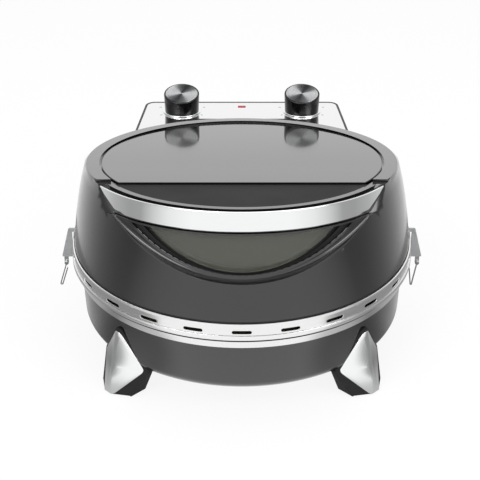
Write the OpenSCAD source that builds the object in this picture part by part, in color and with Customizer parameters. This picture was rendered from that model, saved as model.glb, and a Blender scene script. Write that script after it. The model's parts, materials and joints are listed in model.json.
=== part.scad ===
// Countertop pizza oven: a round bowl with a stone, a slotted steel band and a
// wedge-shaped lid that hinges at the back, in front of a two-knob control box.
// Frame: origin on the floor under the middle of the bowl, front is -Y, up is +Z.

/* [Overall] */
// Which node to build, or all of them
// Radius of the baking stone, which sets how wide the oven is
stone_r = 155; // [145:0.5:186]
// Height of the seam line at the foot of the slotted band
seam_z = 91; // [76:1:109]
// Thickness of thin sheet steel
sheet = 1.2; // [0.8:0.1:1.6]
// Thickness of moulded walls
wall = 2.5; // [2:0.1:3]

/* [Bowl] */
// From the stone's edge to the outside of the bowl
bowl_room = 10.8; // [9:0.1:14]
// Inward lean of the bowl's side, per unit of height
bowl_draft = 0.035; // [0.01:0.005:0.08]
// Radius of the bowl's rounded lower edge
bowl_edge = 11; // [6:0.5:14]
// Height of the bowl's lower edge above the floor
bowl_z = 26.4; // [22:0.1:34]
// Thickness of the bowl's wall
bowl_wall = 2; // [1.5:0.1:2.4]

/* [Band] */
// How far the band stands out from the bowl
band_out = 7.7; // [6.5:0.1:10]
// Height of the slotted band
band_h = 16.7; // [14:0.1:20]
// How far the rolled foot of the band stands out
band_bead = 1; // [0.5:0.1:1.4]
// Pitch of the slots, in degrees
slot_pitch = 15; // [12:1:20]
// Width of a slot, in degrees
slot_span = 6; // [4:0.5:8]
// Height of a slot
slot_h = 3.4; // [2.5:0.1:4.5]
// Height of the steel flange below the band
flange_h = 10.2; // [8:0.1:12]

/* [Lid] */
// Height of the lid's rim over the lid's lower edge, at the middle
lid_h = 84.9; // [70:0.1:102]
// Inward lean of the lid's wall, per unit of height
lid_draft = 0.12; // [0.08:0.01:0.14]
// Further inward curve of the wall at the shoulder
lid_round = 5.7; // [4:0.1:7]
// How much narrower the rim is than the lid's lower edge
rim_in = 16.9; // [16:0.1:20]
// Width of the flat rim round the top
rim_w = 13.2; // [10:0.1:15]
// Fall of the lid's top from front to back, per unit of length
rim_fall = 0.15; // [0.12:0.005:0.18]
// Distance from the middle to the step in the rim
fold_y = 69; // [60:1:76]
// Distance from the middle to the front edge of the round panel
panel_y = 77.5; // [72:0.5:92]

/* [Handle] */
// Height of the bright handle band
handle_h = 20.7; // [17:0.1:25]
// Thickness of the handle band
handle_t = 2; // [1.6:0.1:2.4]
// Fall of the handle's edges, per unit of length
handle_fall = 0.158; // [0.13:0.001:0.17]
// Where the handle's ends start, ahead of the middle
handle_end_y = 77; // [76:0.1:92]

/* [Window] */
// Thickness of the glass
glass_t = 3; // [2.5:0.1:3.6]
// Radius of the window's outline, seen from the front
glass_arc = 126.6; // [105:0.1:152]
// Height of the lowest point of the glass over the lid's lower edge
glass_up = 41.4; // [36:0.1:48]

/* [Controls] */
// Height of the control panel over the top of the band
panel_up = 43.9; // [40:0.1:52]
// Half the width of the control box at its back
box_half_w = 113.4; // [95:0.1:136]
// How far the control box reaches back from the band
box_depth = 71.5; // [66:0.1:86]
// Radius of the control box's back corners
box_corner_r = 11.5; // [6:0.5:14]
// Distance from the middle plane to each knob
knob_x = 70.3; // [60:0.1:84]
// Radius of a knob
knob_r = 20.5; // [17:0.1:24.6]
// Height of a knob at its axis
knob_h = 20; // [16:0.1:24]
// Slope of a knob's top, in degrees
knob_slope = 11.3; // [0:0.1:14]

/* [Feet] */
// Direction of the front feet from straight ahead, in degrees
foot_turn = 45.3; // [35:0.1:50]
// Half width of a front foot at its widest
foot_half_w = 32.8; // [27:0.1:39]
// How far a front foot's toe stands out from the bowl
toe_out = 22.8; // [16:0.1:28]

/* [Latches] */
// Thickness of the latch fins
hasp_t = 2.4; // [1.6:0.1:3]
// Radius of the latch pins
latch_pin_r = 1; // [0.8:0.1:1.2]

/* [Lid hinge] */
// Distance from the middle plane to each hinge arm
hinge_x = 40; // [33:1:45]
// Radius of the hinge pins
hinge_pin_r = 3; // [2.5:0.1:3.6]

/* [Baking] */
// Thickness of the baking stone
stone_t = 13; // [10:0.5:15.6]
// Radius of the heating elements' tube
tube_r = 3.3; // [2.7:0.1:4]
// Radius of the lower heating element's loop
loop_r = 98; // [80:1:118]

/* [Hidden] */
$fn = 96;

eps = 0.05;             // overlap that makes a cut clean
gap = 0.2;              // fitting gap between fixed pieces
run = 0.05;             // radial running clearance of a pin
swing = 1.1;            // room between the base and what passes it on the lid

// Radii of the base
bowl_top_r = stone_r + bowl_room;
band_r = bowl_top_r + band_out;
band_t = 1.6;
bead_r = band_r + band_bead;
reach = band_r + 60;    // half length of a cut that passes right through

// Heights of the base: the tray's lip lies on the bowl's edge, just below the seam
groove_h = 1.6;         // shadow groove between the flange and the band
flange_top = seam_z - groove_h;
flange_z = flange_top - flange_h;
band_top = seam_z + band_h;
lip_z = seam_z - 1.3;
bowl_top = lip_z - sheet;
tray_depth = 29.7;
tray_z = lip_z - tray_depth;
element_lift = 8.8;     // from the tray's floor to the middle of the tube

// Lid: radii, then heights
lid_side_gap = 0.2;
lid_low_r = band_r - band_t - lid_side_gap;
rim_r = lid_low_r - rim_in;
hole_r = rim_r - rim_w;
disc_gap = 2.2;         // groove round the disc
handle_r = rim_r - 0.4;
lip_r = rim_r - 7.2;    // outside of the lip behind the handle
header_t = 2.6;
header_r = lip_r - header_t;
glass_r = rim_r - 3.8;
recess_r = glass_r + 5.5;
shoulder_h = 86;        // height over which the shoulder curve is measured
lid_z = band_top + 0.5;
rim_z = lid_z + lid_h;
lid_top = rim_z + rim_fall * reach;
rim_edge_r = rim_r - 0.4; // of the flat rim, inside its bevelled edge

// The lid's tilted faces, each as a drop below the rim's plane
lip_drop = 2.7;
disc_drop = 1.5;
grip_drop = 1.1;        // of the handle's ledge, at the middle
grip_fall = 0.12;
handle_drop = 4.45;
skin = 2;               // moulding under the panels
panel_t = 2.4;

// Window recess, as circles seen from the front
frame_arc = glass_arc + 38.4;
recess_arc = glass_arc + 73.4;
glass_z = lid_z + glass_up;
frame_z = glass_z - 2.6;
recess_z = glass_z - 4.6;
shelf_t = 1.8;
shelf_drop = 0.5;
gasket_w = 2;
window_y = 40;          // the window's pieces stay ahead of this

// Control box
panel_z = band_top + panel_up;
box_back_y = band_r + box_depth;
box_splay = 0.086;
box_front_y = stone_r - 5;
box_z = bowl_z - 2.4;
panel_rim = 2.3;        // edge of the housing that frames the panel
plate_t = 1.5;
knob_y = box_back_y - 25.7;
lens_y = knob_y + 11;
shaft_r = 3;
mech_d = 46;

// Hinge
hinge_y = band_r + 12;
hinge_z = panel_z - 8.1;
ear_t = 3;
arm_t = 7.4;
knuckle_r = hinge_pin_r + 3;
notch_half_w = hinge_x + 22;
notch_y = hinge_y + knuckle_r + 0.5;
notch_z = hinge_z - knuckle_r - 6.5;

// Latches: the fin's section and the hairpin clip that hangs from it
hasp_in_x = bead_r + swing;
hasp_top_x = band_r + 5.6;
hasp_low_x = band_r + 14.1;
hasp_top_z = lid_z + 5;
hasp_low_z = seam_z - 11;
clip_x = hasp_low_x - 4;
clip_z = hasp_low_z - 8;
clip_t = 1.2;
clip_w = 2.2;
clip_len = 27.3;
eye_r = latch_pin_r + 1.2;
free_lean = 17.4;       // of the left clip, which hangs open
shut_lean = -9;         // of the right clip, which is pushed in

// Feet, in a frame of radius u, side v and height z
foot_top_z = flange_z - 7.5;
apex_u = bowl_top_r + 2.4;
toe_u = bowl_top_r + toe_out;
side_z = bowl_z + 1.4;
sole_half_w = foot_half_w - 11.1;
ridge_half = 57;        // half the angle between a foot's two front faces
toe_round = 8;
inlay_edge = 3.6;       // plastic left round the inlay
foot_back_u = bowl_top_r - 8.8;
pad_h = 2.4;
pad_r = 9;
pad_stand = 0.4;        // how far a pad stands out of its foot
front_pad_u = foot_back_u + pad_r + 2;
plate_in = 31;          // from the stone's edge to the opening in the bowl's floor
open_r = stone_r - plate_in;
plate_r = open_r + 9.5;
plate_screw_r = open_r + 5;
rear_foot_r = pad_r + 1.2;
rear_foot_u = plate_r + gap + rear_foot_r;
rear_foot_turn = 42;

// ---------------------------------------------------------------- helpers

function rim_at(y) = rim_z - rim_fall * y;
function lip_at(y) = rim_at(y) - lip_drop;
function disc_at(y) = rim_at(y) - disc_drop;
function grip_at(y) = rim_z - grip_drop - grip_fall * y;
function handle_top_at(y) = rim_z - handle_drop - handle_fall * y;
function handle_at(y) = handle_top_at(y) - handle_h;
function lid_r(z) = let (h = z - lid_z)
    max(rim_r, lid_low_r - lid_draft * h - lid_round * pow(h / shoulder_h, 3));
function bowl_r(z) = let (low = max(0, bowl_z + bowl_edge - z))
    bowl_top_r - bowl_draft * (flange_z - z)
        - bowl_edge + sqrt(max(0, bowl_edge * bowl_edge - low * low));

function unit(v) = v / norm(v);
function across_of(v) = [-v[1], v[0]];

// Points on the arc that rounds the corner b between a and c
function corner(a, b, c, r, steps = 6) =
    let (to_a = unit(a - b), to_c = unit(c - b),
        half = acos(to_a * to_c) / 2,
        mid = b + unit(to_a + to_c) * r / sin(half),
        first = b + to_a * r / tan(half) - mid,
        turn = (to_a[0] * to_c[1] - to_a[1] * to_c[0] > 0 ? -1 : 1) * (180 - 2 * half))
    [for (k = [0:steps]) let (t = turn * k / steps)
        mid + [first[0] * cos(t) - first[1] * sin(t), first[0] * sin(t) + first[1] * cos(t)]];

// A closed outline whose corners are rounded, each by its own radius
function rounded(points, radii) = let (n = len(points))
    [for (k = [0:n - 1])
        each corner(points[(k + n - 1) % n], points[k], points[(k + 1) % n], radii[k])];

// The point that lies off to one side of a bend in a line of points
function mitre(path, k, off) =
    let (last = len(path) - 1,
        after = unit(path[min(k + 1, last)] - path[min(k, last - 1)]),
        before = unit(path[max(k, 1)] - path[max(k - 1, 0)]),
        side = unit(across_of(before) + across_of(after)))
    path[k] + side * off / (side * across_of(before));

// A ring about the oven's axis
module ring(r_out, r_in, z0, z1) {
    translate([0, 0, z0]) difference() {
        cylinder(r = r_out, h = z1 - z0);
        translate([0, 0, -1]) cylinder(r = r_in, h = z1 - z0 + 2);
    }
}

// A tall cylinder over the lid's lower edge
module within(r) {
    translate([0, 0, lid_z]) cylinder(r = r, h = lid_top + 40 - lid_z);
}

// A solid with one [y, z] outline all the way across
module across(points, half = reach) {
    rotate([90, 0, 90]) linear_extrude(height = 2 * half, center = true) polygon(points);
}

// A round cut or bar along Y, from y0 to y1, with its lowest point at low_z
module fore_aft(r, low_z, y0, y1) {
    translate([0, y1, low_z + r]) rotate([90, 0, 0]) cylinder(r = r, h = y1 - y0);
}

// A bar or bore along X about the point [y, z]
module crosswise(r, x0, x1, y, z) {
    translate([x0, y, z]) rotate([0, 90, 0]) cylinder(r = r, h = x1 - x0);
}

module at_knob(side) {
    translate([side * knob_x, knob_y, 0]) children();
}

// Places a foot drawn along +X at the front, on the side given
module at_foot(side) {
    rotate([0, 0, -90 + side * foot_turn]) children();
}

module on_right(side) {
    if (side > 0) children(); else mirror([1, 0, 0]) children();
}

module pan_screw(r, head_h, shank_h) {
    difference() {
        union() {
            cylinder(r = r, h = head_h);
            translate([0, 0, head_h - eps]) cylinder(r = r / 2, h = shank_h + eps);
        }
        for (turn = [0, 90])
            rotate([0, 0, turn]) translate([-r * 0.6, -0.4, -1]) cube([r * 1.2, 0.8, 1.8]);
    }
}

// ---------------------------------------------------------------- base

module bowl_form(inset = 0, z0 = bowl_z, z1 = flange_z) {
    steps = 6;
    bend_z = bowl_z + bowl_edge;
    rotate_extrude() polygon(concat(
        [[0, z0]],
        [for (k = [0:steps]) let (z = bend_z - (bend_z - z0) * cos(90 * k / steps))
            [bowl_r(z) - inset, z]],
        [[bowl_r(z1) - inset, z1], [0, z1]]));
}

module base_bowl() {
    open_z = bowl_z + bowl_wall;
    color("#4a4a4a") difference() {
        union() {
            bowl_form();
            translate([0, 0, flange_z - eps])
                cylinder(r = bowl_top_r, h = bowl_top - flange_z + eps);
        }
        bowl_form(bowl_wall, open_z, flange_z);
        translate([0, 0, flange_z - eps])
            cylinder(r = bowl_top_r - bowl_wall, h = flange_h + 2);
        translate([0, 0, bowl_z - 1]) cylinder(r = open_r, h = 4);
        for (k = [0:5]) rotate([0, 0, 60 * k + 30])
            translate([plate_screw_r, 0, bowl_z - 1]) cylinder(r = 1.9, h = 4);
        for (side = [-1, 1]) element_leg(side, tube_r + 0.6);
    }
}

module base_plate() {
    slots = 12;
    slot_rows = [open_r - 54, open_r - 26];
    color("#8a8a8a") difference() {
        translate([0, 0, bowl_z - 1.6]) cylinder(r = plate_r, h = 1.6);
        for (k = [0:slots - 1], r = slot_rows)
            rotate([0, 0, 360 / slots * (k + 0.5)])
                translate([r, 0, bowl_z - 3]) slot_hole(16, 4, 5);
        for (k = [0:5]) rotate([0, 0, 60 * k + 30])
            translate([plate_screw_r, 0, bowl_z - 3]) cylinder(r = 2.2, h = 6);
    }
}

// A rounded slot along X, cut upwards
module slot_hole(length, width, depth) {
    translate([-length / 2 + width / 2, -width / 2, 0])
        cube([length - width, width, depth]);
    for (end = [-1, 1])
        translate([end * (length - width) / 2, 0, 0]) cylinder(r = width / 2, h = depth);
}

module base_screws() {
    color("#b0b0b0") for (k = [0:5]) rotate([0, 0, 60 * k + 30])
        translate([plate_screw_r, 0, bowl_z - 1.6 - 1.8]) pan_screw(3.6, 1.8, 6);
}

flange_top_r = band_r - 2.5;

module trim_flange() {
    low_r = flange_top_r - 1.4;
    color("#c8c8c8") rotate_extrude() polygon([
        [bowl_top_r + gap, flange_z],
        [low_r, flange_z],
        [low_r + 0.9, flange_z + 1.2],
        [flange_top_r, flange_top],
        [bowl_top_r + gap, flange_top],
    ]);
}

// The band stands on the flange; its foot overhangs a shadow groove
module slotted_band() {
    bead_top = seam_z + 5;
    slot_z = seam_z + 8.2;
    slot_w = 2 * band_r * sin(slot_span / 2);
    foot_z = seam_z - 0.3;
    count = 360 / slot_pitch;
    color("#d6d6d6") difference() {
        rotate_extrude() polygon([
            [bowl_top_r + gap, flange_top],
            [flange_top_r - 1.2, flange_top],
            [flange_top_r - 1.2, foot_z],
            [bead_r - 0.6, foot_z],
            [bead_r, foot_z + 0.7],
            [bead_r, bead_top - 0.5],
            [band_r, bead_top],
            [band_r, band_top - 0.6],
            [band_r - 0.6, band_top],
            [band_r - band_t, band_top],
            [band_r - band_t, seam_z + sheet],
            [bowl_top_r + gap, seam_z + sheet],
        ]);
        for (k = [0:count - 1]) rotate([0, 0, slot_pitch * k])
            translate([0, -band_r, slot_z]) {
                translate([-slot_w / 2 + slot_h / 2, -3, -slot_h / 2])
                    cube([slot_w - slot_h, 6, slot_h]);
                for (end = [-1, 1]) translate([end * (slot_w - slot_h) / 2, 3, 0])
                    rotate([90, 0, 0]) cylinder(r = slot_h / 2, h = 6);
            }
    }
}

// Dish under the stone: a lip on the bowl's edge, a ledge for the stone, a
// steep wall and a flat floor
module inner_tray() {
    ledge_r = stone_r - 8;
    floor_r = stone_r - 23;
    rim = bowl_top_r - gap;
    color("#c4c4c4") difference() {
        rotate_extrude() polygon([
            [0, tray_z],
            [floor_r, tray_z],
            [floor_r + 4, tray_z + 4],
            [ledge_r + sheet, lip_z - sheet],
            [rim, lip_z - sheet],
            [rim, lip_z + 0.8],
            [rim - sheet, lip_z + 0.8],
            [rim - sheet, lip_z],
            [ledge_r, lip_z],
            [floor_r + 3, tray_z + 4 + sheet],
            [floor_r, tray_z + sheet],
            [0, tray_z + sheet],
        ]);
        for (side = [-1, 1]) element_leg(side, tube_r + 0.3);
    }
}

module baking_stone() {
    edge = 1.5;
    color("#cbb68f") rotate_extrude() polygon([
        [0, lip_z], [stone_r - edge, lip_z], [stone_r, lip_z + edge],
        [stone_r, lip_z + stone_t - edge], [stone_r - edge, lip_z + stone_t],
        [0, lip_z + stone_t],
    ]);
}

leg_angle = 18;         // where the loop opens, either side of straight back
low_loop_z = tray_z + sheet + element_lift;
leg_end_y = bowl_top_r + 10;

module element_leg(side, r) {
    translate([side * loop_r * sin(leg_angle), loop_r * cos(leg_angle), low_loop_z])
        rotate([-90, 0, 0]) cylinder(r = r, h = leg_end_y - loop_r * cos(leg_angle));
}

module tube_loop(r, z) {
    translate([0, 0, z]) rotate([0, 0, 90 + leg_angle])
        rotate_extrude(angle = 360 - 2 * leg_angle) translate([r, 0]) circle(r = tube_r);
}

// The heated tube: an outer loop whose two ends turn back to the terminals
module lower_element() {
    color("#55504c") {
        tube_loop(loop_r, low_loop_z);
        for (side = [-1, 1]) {
            element_leg(side, tube_r);
            translate([side * loop_r * sin(leg_angle), loop_r * cos(leg_angle), low_loop_z])
                sphere(r = tube_r + 0.6);
        }
    }
}

module element_clip(r, base_z, loop_z) {
    hold_w = 8;
    translate([r, 0, 0]) difference() {
        translate([-5, -hold_w / 2, base_z]) cube([10, hold_w, loop_z - base_z + 1]);
        translate([0, hold_w, loop_z]) rotate([90, 0, 0])
            cylinder(r = tube_r + 0.1, h = 2 * hold_w);
        translate([-tube_r + 0.4, -hold_w, loop_z]) cube([2 * tube_r - 0.8, 2 * hold_w, 9]);
        translate([-3.4, -hold_w, base_z + 1.2])
            cube([6.8, 2 * hold_w, loop_z - base_z - tube_r - 2.6]);
    }
}

module lower_element_clips() {
    color("#b8b8b8") for (turn = [-30, 210, 270])
        rotate([0, 0, turn]) element_clip(loop_r, tray_z + sheet, low_loop_z);
}

// ---------------------------------------------------------------- feet

// Kite outline of a front foot, seen from straight outside, as [v, z]: a
// pointed top, two side corners and a blunt lower end, with rounded corners
module kite(inset) {
    top_r = 6;
    side_r = 5;
    sole_r = inset > 0 ? 5.5 : 1;
    half = foot_half_w - inset;
    low_half = inset > 0 ? toe_round - 1 : sole_half_w;
    low = inset > 0 ? 1.1 : pad_stand;
    polygon(rounded(
        [[0, foot_top_z - inset * 0.8], [half, side_z], [low_half, low],
         [-low_half, low], [-half, side_z]],
        [top_r, side_r, sole_r, sole_r, side_r]));
}

module kite_prism(inset) {
    translate([toe_u + 12, 0, 0]) rotate([90, 0, -90]) linear_extrude(height = 70)
        kite(inset);
}

// The two front faces of a foot, meeting in a softly rounded ridge that runs
// from the apex on the bowl down to the toe
module ridge_form(grow = 0) {
    lean = atan((toe_u - apex_u) / foot_top_z);
    tangent_u = -toe_round / sin(ridge_half) + toe_round * sin(ridge_half);
    tangent_v = toe_round * cos(ridge_half);
    far = 70;
    translate([toe_u + grow, 0, 0]) rotate([0, -lean, 0])
        translate([0, 0, -30]) linear_extrude(height = 160) union() {
            translate([-toe_round / sin(ridge_half), 0]) circle(r = toe_round);
            polygon([
                [tangent_u, tangent_v],
                [tangent_u - far * cos(ridge_half), tangent_v + far * sin(ridge_half)],
                [tangent_u - far * cos(ridge_half), -tangent_v - far * sin(ridge_half)],
                [tangent_u, -tangent_v],
            ]);
        }
}

// Clear of the bowl's side by a little
module off_bowl(space) {
    bowl_form(-space, bowl_z, flange_z);
}

module foot_inlay(side) {
    inlay_t = 1.2;
    color("#e2e2e2") at_foot(side) difference() {
        intersection() {
            kite_prism(inlay_edge + gap);
            difference() {
                ridge_form(0.5);
                ridge_form(0.5 - inlay_t);
            }
        }
        off_bowl(0.3);
    }
}

module front_foot(side) {
    color("#3c3c3c") at_foot(side) difference() {
        intersection() {
            kite_prism(0);
            ridge_form();
            translate([foot_back_u, -60, pad_stand]) cube([70, 120, foot_top_z]);
        }
        off_bowl(0.06);
        intersection() {
            kite_prism(inlay_edge);
            difference() {
                ridge_form(3);
                ridge_form(-0.8);
            }
        }
        translate([front_pad_u, 0, -1]) cylinder(r = pad_r + 0.1, h = pad_h + 1);
    }
}

module at_rear_foot(side) {
    translate([side * rear_foot_u * sin(rear_foot_turn), rear_foot_u * cos(rear_foot_turn), 0])
        children();
}

module rear_feet() {
    color("#3c3c3c") for (side = [-1, 1]) at_rear_foot(side) difference() {
        translate([0, 0, pad_stand]) cylinder(r = rear_foot_r, h = bowl_z - pad_stand);
        translate([0, 0, -1]) cylinder(r = pad_r + 0.1, h = pad_h + 1);
    }
}

module foot_pads() {
    color("#1e1e1e") for (side = [-1, 1]) {
        at_foot(side) translate([front_pad_u, 0, 0]) cylinder(r = pad_r, h = pad_h);
        at_rear_foot(side) cylinder(r = pad_r, h = pad_h);
    }
}

// ---------------------------------------------------------------- control box

// Plan of the control box: wider towards the front, with round back corners
module box_plan(inset) {
    lean = atan(box_splay);
    r = box_corner_r - inset;
    back = box_back_y - inset;
    front = box_front_y + inset;
    half_back = box_half_w - inset / cos(lean);
    half_front = half_back + box_splay * (box_back_y - front);
    corner = [half_back + box_splay * (box_back_y - back + r) - r / cos(lean), back - r];
    tangent = corner + r * [cos(lean), sin(lean)];
    for (side = [-1, 1]) translate([side * corner[0], corner[1]]) circle(r = r);
    polygon([
        [half_front, front], tangent, [corner[0], back],
        [-corner[0], back], [-tangent[0], tangent[1]], [-half_front, front],
    ]);
}

// The control box's plan at a height, round against the bowl and the band
module box_form(z0, z1, inset = 0) {
    difference() {
        translate([0, 0, z0]) linear_extrude(height = z1 - z0) box_plan(inset);
        rotate_extrude() polygon([
            [0, 0],
            [bowl_top_r + 0.4 + inset, 0],
            [bowl_top_r + 0.4 + inset, flange_z - 0.4 - inset],
            [bead_r + 0.3 + inset, flange_z - 0.4 - inset],
            [bead_r + 1.8 + inset, band_top + 1],
            [bead_r + 1.8 + inset, panel_z + 50],
            [0, panel_z + 50],
        ]);
    }
}

module hinge_notch(grow = 0) {
    translate([-notch_half_w - grow, box_front_y, notch_z - grow])
        cube([2 * (notch_half_w + grow), notch_y + grow - box_front_y, 60]);
}

gland_x = 62;
gland_z = box_z + 24;
gland_r = 7;

module control_housing() {
    top = panel_z - plate_t;
    color("#3f3f3f") difference() {
        box_form(box_z, panel_z);
        difference() {
            box_form(top, panel_z + 1, panel_rim);
            hinge_notch(panel_rim);
        }
        difference() {
            box_form(box_z - 1, top - wall, wall);
            hinge_notch(wall);
        }
        hinge_notch();
        for (side = [-1, 1]) {
            at_knob(side) translate([0, 0, top - 5]) cylinder(r = 4.5, h = 8);
            element_leg(side, tube_r + 0.8);
        }
        lens_cut(0.2);
        for (side = [-1, 1], x = [-10.6, 10.6])
            translate([side * hinge_x + x, hinge_y, notch_z - 5]) cylinder(r = 1, h = 8);
        translate([gland_x, box_back_y + 5, gland_z]) rotate([90, 0, 0])
            cylinder(r = gland_r + 0.1, h = 12);
    }
}

module lens_cut(grow) {
    lens_w = 9;
    lens_d = 3.4;
    translate([-lens_w / 2 - grow, lens_y - lens_d / 2 - grow, panel_z - 8])
        cube([lens_w + 2 * grow, lens_d + 2 * grow, 12]);
}

module control_panel() {
    color("#e6e6e6") difference() {
        box_form(panel_z - plate_t, panel_z - 0.2, panel_rim + gap);
        hinge_notch(panel_rim + gap);
        for (side = [-1, 1])
            at_knob(side) translate([0, 0, panel_z - 4]) cylinder(r = 4.5, h = 8);
        lens_cut(0.1);
    }
}

screw_x = [-box_half_w + 17, box_half_w - 17];
screw_y = [bowl_top_r + 10.4, box_back_y - 10.5];

module housing_floor() {
    color("#3f3f3f") difference() {
        box_form(box_z, box_z + 2, wall + gap);
        for (x = [-70:20:70]) if (abs(x) > 15)
            translate([x, knob_y - 11, box_z - 1]) rotate([0, 0, 90]) slot_hole(26, 4, 5);
        for (x = screw_x, y = screw_y)
            translate([x, y, box_z - 1]) cylinder(r = 2, h = 5);
    }
}

module housing_screws() {
    color("#b0b0b0") for (x = screw_x, y = screw_y)
        translate([x, y, box_z - 1.6]) pan_screw(3.4, 1.6, 8);
}

module indicator_lens() {
    color("#c8102e") intersection() {
        lens_cut(0);
        translate([-20, lens_y - 20, panel_z - 6]) cube([40, 40, 6.4]);
    }
}

module pilot_lamp() {
    color("#e8e0c8") translate([0, lens_y, panel_z - 24]) {
        cylinder(r = 3, h = 17.6);
        translate([-6, -5, -2]) cube([12, 10, 4]);
    }
}

module knob_collar(side) {
    in_r = knob_r - 1.9;
    out_r = knob_r + 3.1;
    color("#d2d2d2") at_knob(side) translate([0, 0, panel_z - 0.2]) rotate_extrude() polygon([
        [in_r, 0], [out_r, 0], [out_r, 0.8], [out_r - 1.3, 2.4], [in_r, 2.4],
    ]);
}

module control_mechanism(side, tint) {
    top = panel_z - plate_t - wall;
    color(tint) at_knob(side) difference() {
        union() {
            translate([-mech_d / 2, -mech_d / 2 + 4, top - 34])
                cube([mech_d, mech_d - 8, 34 - gap]);
            translate([0, 0, top - gap - eps]) cylinder(r = 4.3, h = wall + eps);
        }
        translate([0, 0, top - 20]) cylinder(r = shaft_r + run, h = 40);
    }
}

module knob_shaft(side) {
    flat = 1.4;
    color("#b8b8b8") at_knob(side) difference() {
        translate([0, 0, panel_z - plate_t - wall - 19]) cylinder(r = shaft_r, h = 36);
        translate([flat, -5, panel_z + 5]) cube([6, 10, 20]);
    }
}

knob_z = panel_z + 2.8;

// Everything below a knob's slanted top, raised by grow
module knob_slant(grow) {
    translate([0, 0, knob_z + knob_h + grow]) rotate([knob_slope, 0, 0])
        translate([-40, -40, -60]) cube([80, 80, 60]);
}

module knob_body(side) {
    color("#202020") at_knob(side) difference() {
        intersection() {
            translate([0, 0, knob_z]) cylinder(r1 = knob_r - 0.7, r2 = knob_r + 0.2, h = 40);
            knob_slant(0);
        }
        difference() {
            translate([0, 0, knob_z + 5]) cylinder(r = knob_r - 1.1, h = 40);
            knob_slant(-1.6);
        }
        translate([0, 0, knob_z - 1]) difference() {
            cylinder(r = knob_r - 2.4, h = 10);
            cylinder(r = 6.5, h = 10);
        }
        difference() {
            translate([0, 0, knob_z - 1]) cylinder(r = shaft_r + 0.02, h = 15.2);
            translate([1.42, -5, panel_z + 5]) cube([6, 10, 20]);
        }
    }
}

module knob_cap(side) {
    pointer_w = 1.4;
    pointer_l = 5;
    color("#8f8f8f") at_knob(side) difference() {
        intersection() {
            translate([0, 0, knob_z + 5]) cylinder(r = knob_r - 1.2, h = 40);
            knob_slant(0.2);
        }
        knob_slant(-1.5);
        intersection() {
            translate([-pointer_w / 2, knob_r - 3.6 - pointer_l, knob_z])
                cube([pointer_w, pointer_l, 60]);
            difference() {
                translate([-30, -30, 100]) cube([60, 60, 100]);
                knob_slant(-0.5);
            }
        }
    }
}

module terminal_block() {
    color("#d8d0b8") translate([-24, box_back_y - wall - gap - 16, 60]) difference() {
        cube([48, 16, 14]);
        for (k = [0:3]) translate([8 + 10.6 * k, 8, 6]) cylinder(r = 3, h = 10);
    }
}

module cord_gland() {
    bore_r = 3.6;
    color("#2a2a2a") translate([gland_x, box_back_y, gland_z]) rotate([90, 0, 0]) difference() {
        union() {
            translate([0, 0, -4]) cylinder(r1 = 8, r2 = 9, h = 4);
            translate([0, 0, -eps]) cylinder(r = gland_r, h = wall + 0.4);
            translate([0, 0, wall + 0.3]) cylinder(r = 8.6, h = 3);
        }
        translate([0, 0, -5]) cylinder(r = bore_r, h = 12);
    }
}

// ---------------------------------------------------------------- lid hinge

ear_mid = arm_t / 2 + 0.3 + ear_t / 2;

module hinge_brackets() {
    color("#7c7c7c") for (side = [-1, 1]) translate([side * hinge_x, 0, 0]) difference() {
        union() {
            translate([-13, hinge_y - 6.6, notch_z]) cube([26, 12.8, 1.6]);
            for (ear = [-1, 1]) translate([ear * ear_mid - ear_t / 2, 0, 0]) {
                crosswise(knuckle_r, 0, ear_t, hinge_y, hinge_z);
                translate([0, hinge_y - knuckle_r + 1, notch_z])
                    cube([ear_t, 2 * knuckle_r - 2, hinge_z - notch_z]);
            }
        }
        crosswise(hinge_pin_r + run, -20, 20, hinge_y, hinge_z);
        for (x = [-10.6, 10.6]) translate([x, hinge_y, notch_z - 1]) cylinder(r = 1.1, h = 5);
    }
}

module hinge_pins() {
    half = ear_mid + ear_t / 2;
    color("#c0c0c0") for (side = [-1, 1]) translate([side * hinge_x, 0, 0]) {
        crosswise(hinge_pin_r, -half - 1, half + 1, hinge_y, hinge_z);
        for (end = [-1, 1])
            translate([end * (half + 1.2), 0, 0])
                crosswise(hinge_pin_r + 1.4, -0.8, 0.8, hinge_y, hinge_z);
    }
}

module hinge_screws() {
    color("#b0b0b0") for (side = [-1, 1], x = [-10.6, 10.6])
        translate([side * hinge_x + x, hinge_y, notch_z + 1.6 + 1.2])
            mirror([0, 0, 1]) pan_screw(1.9, 1.2, 5);
}

module hinge_arms() {
    pad_w = 30;
    pad_h2 = 22;
    arm_l = 35.5;
    color("#7c7c7c") for (side = [-1, 1]) translate([side * hinge_x, 0, 0]) difference() {
        union() {
            crosswise(knuckle_r, -arm_t / 2, arm_t / 2, hinge_y, hinge_z);
            translate([-arm_t / 2, hinge_y - arm_l, hinge_z - knuckle_r])
                cube([arm_t, arm_l, 2 * knuckle_r]);
            intersection() {
                translate([-pad_w / 2, hinge_y - arm_l - 10, hinge_z - pad_h2 / 2])
                    cube([pad_w, 40, pad_h2]);
                translate([-side * hinge_x, 0, 0]) lid_wall(2.2);
            }
        }
        translate([-side * hinge_x, 0, 0]) lid_wall(0.02);
        crosswise(hinge_pin_r + run, -20, 20, hinge_y, hinge_z);
    }
}

// ---------------------------------------------------------------- lid

// The lid's wall as a solid of revolution, grown outwards
module lid_wall(grow = 0, z1 = lid_top) {
    steps = 18;
    rotate_extrude() polygon(concat(
        [[0, lid_z]],
        [for (k = [0:steps]) let (z = lid_z + (z1 - lid_z) * k / steps) [lid_r(z) + grow, z]],
        [[0, z1]]));
}

// The rim's round outline, which tilts with the top: a cone, so the lid's
// shoulder is cut at 45 degrees from the rim's edge down to the wall
module rim_outline() {
    deep = 150;
    above = 30;
    translate([0, 0, rim_z]) rotate([-atan(rim_fall), 0, 0]) translate([0, 0, -deep])
        cylinder(r1 = rim_edge_r + deep, r2 = rim_edge_r - above, h = deep + above);
}

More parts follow.
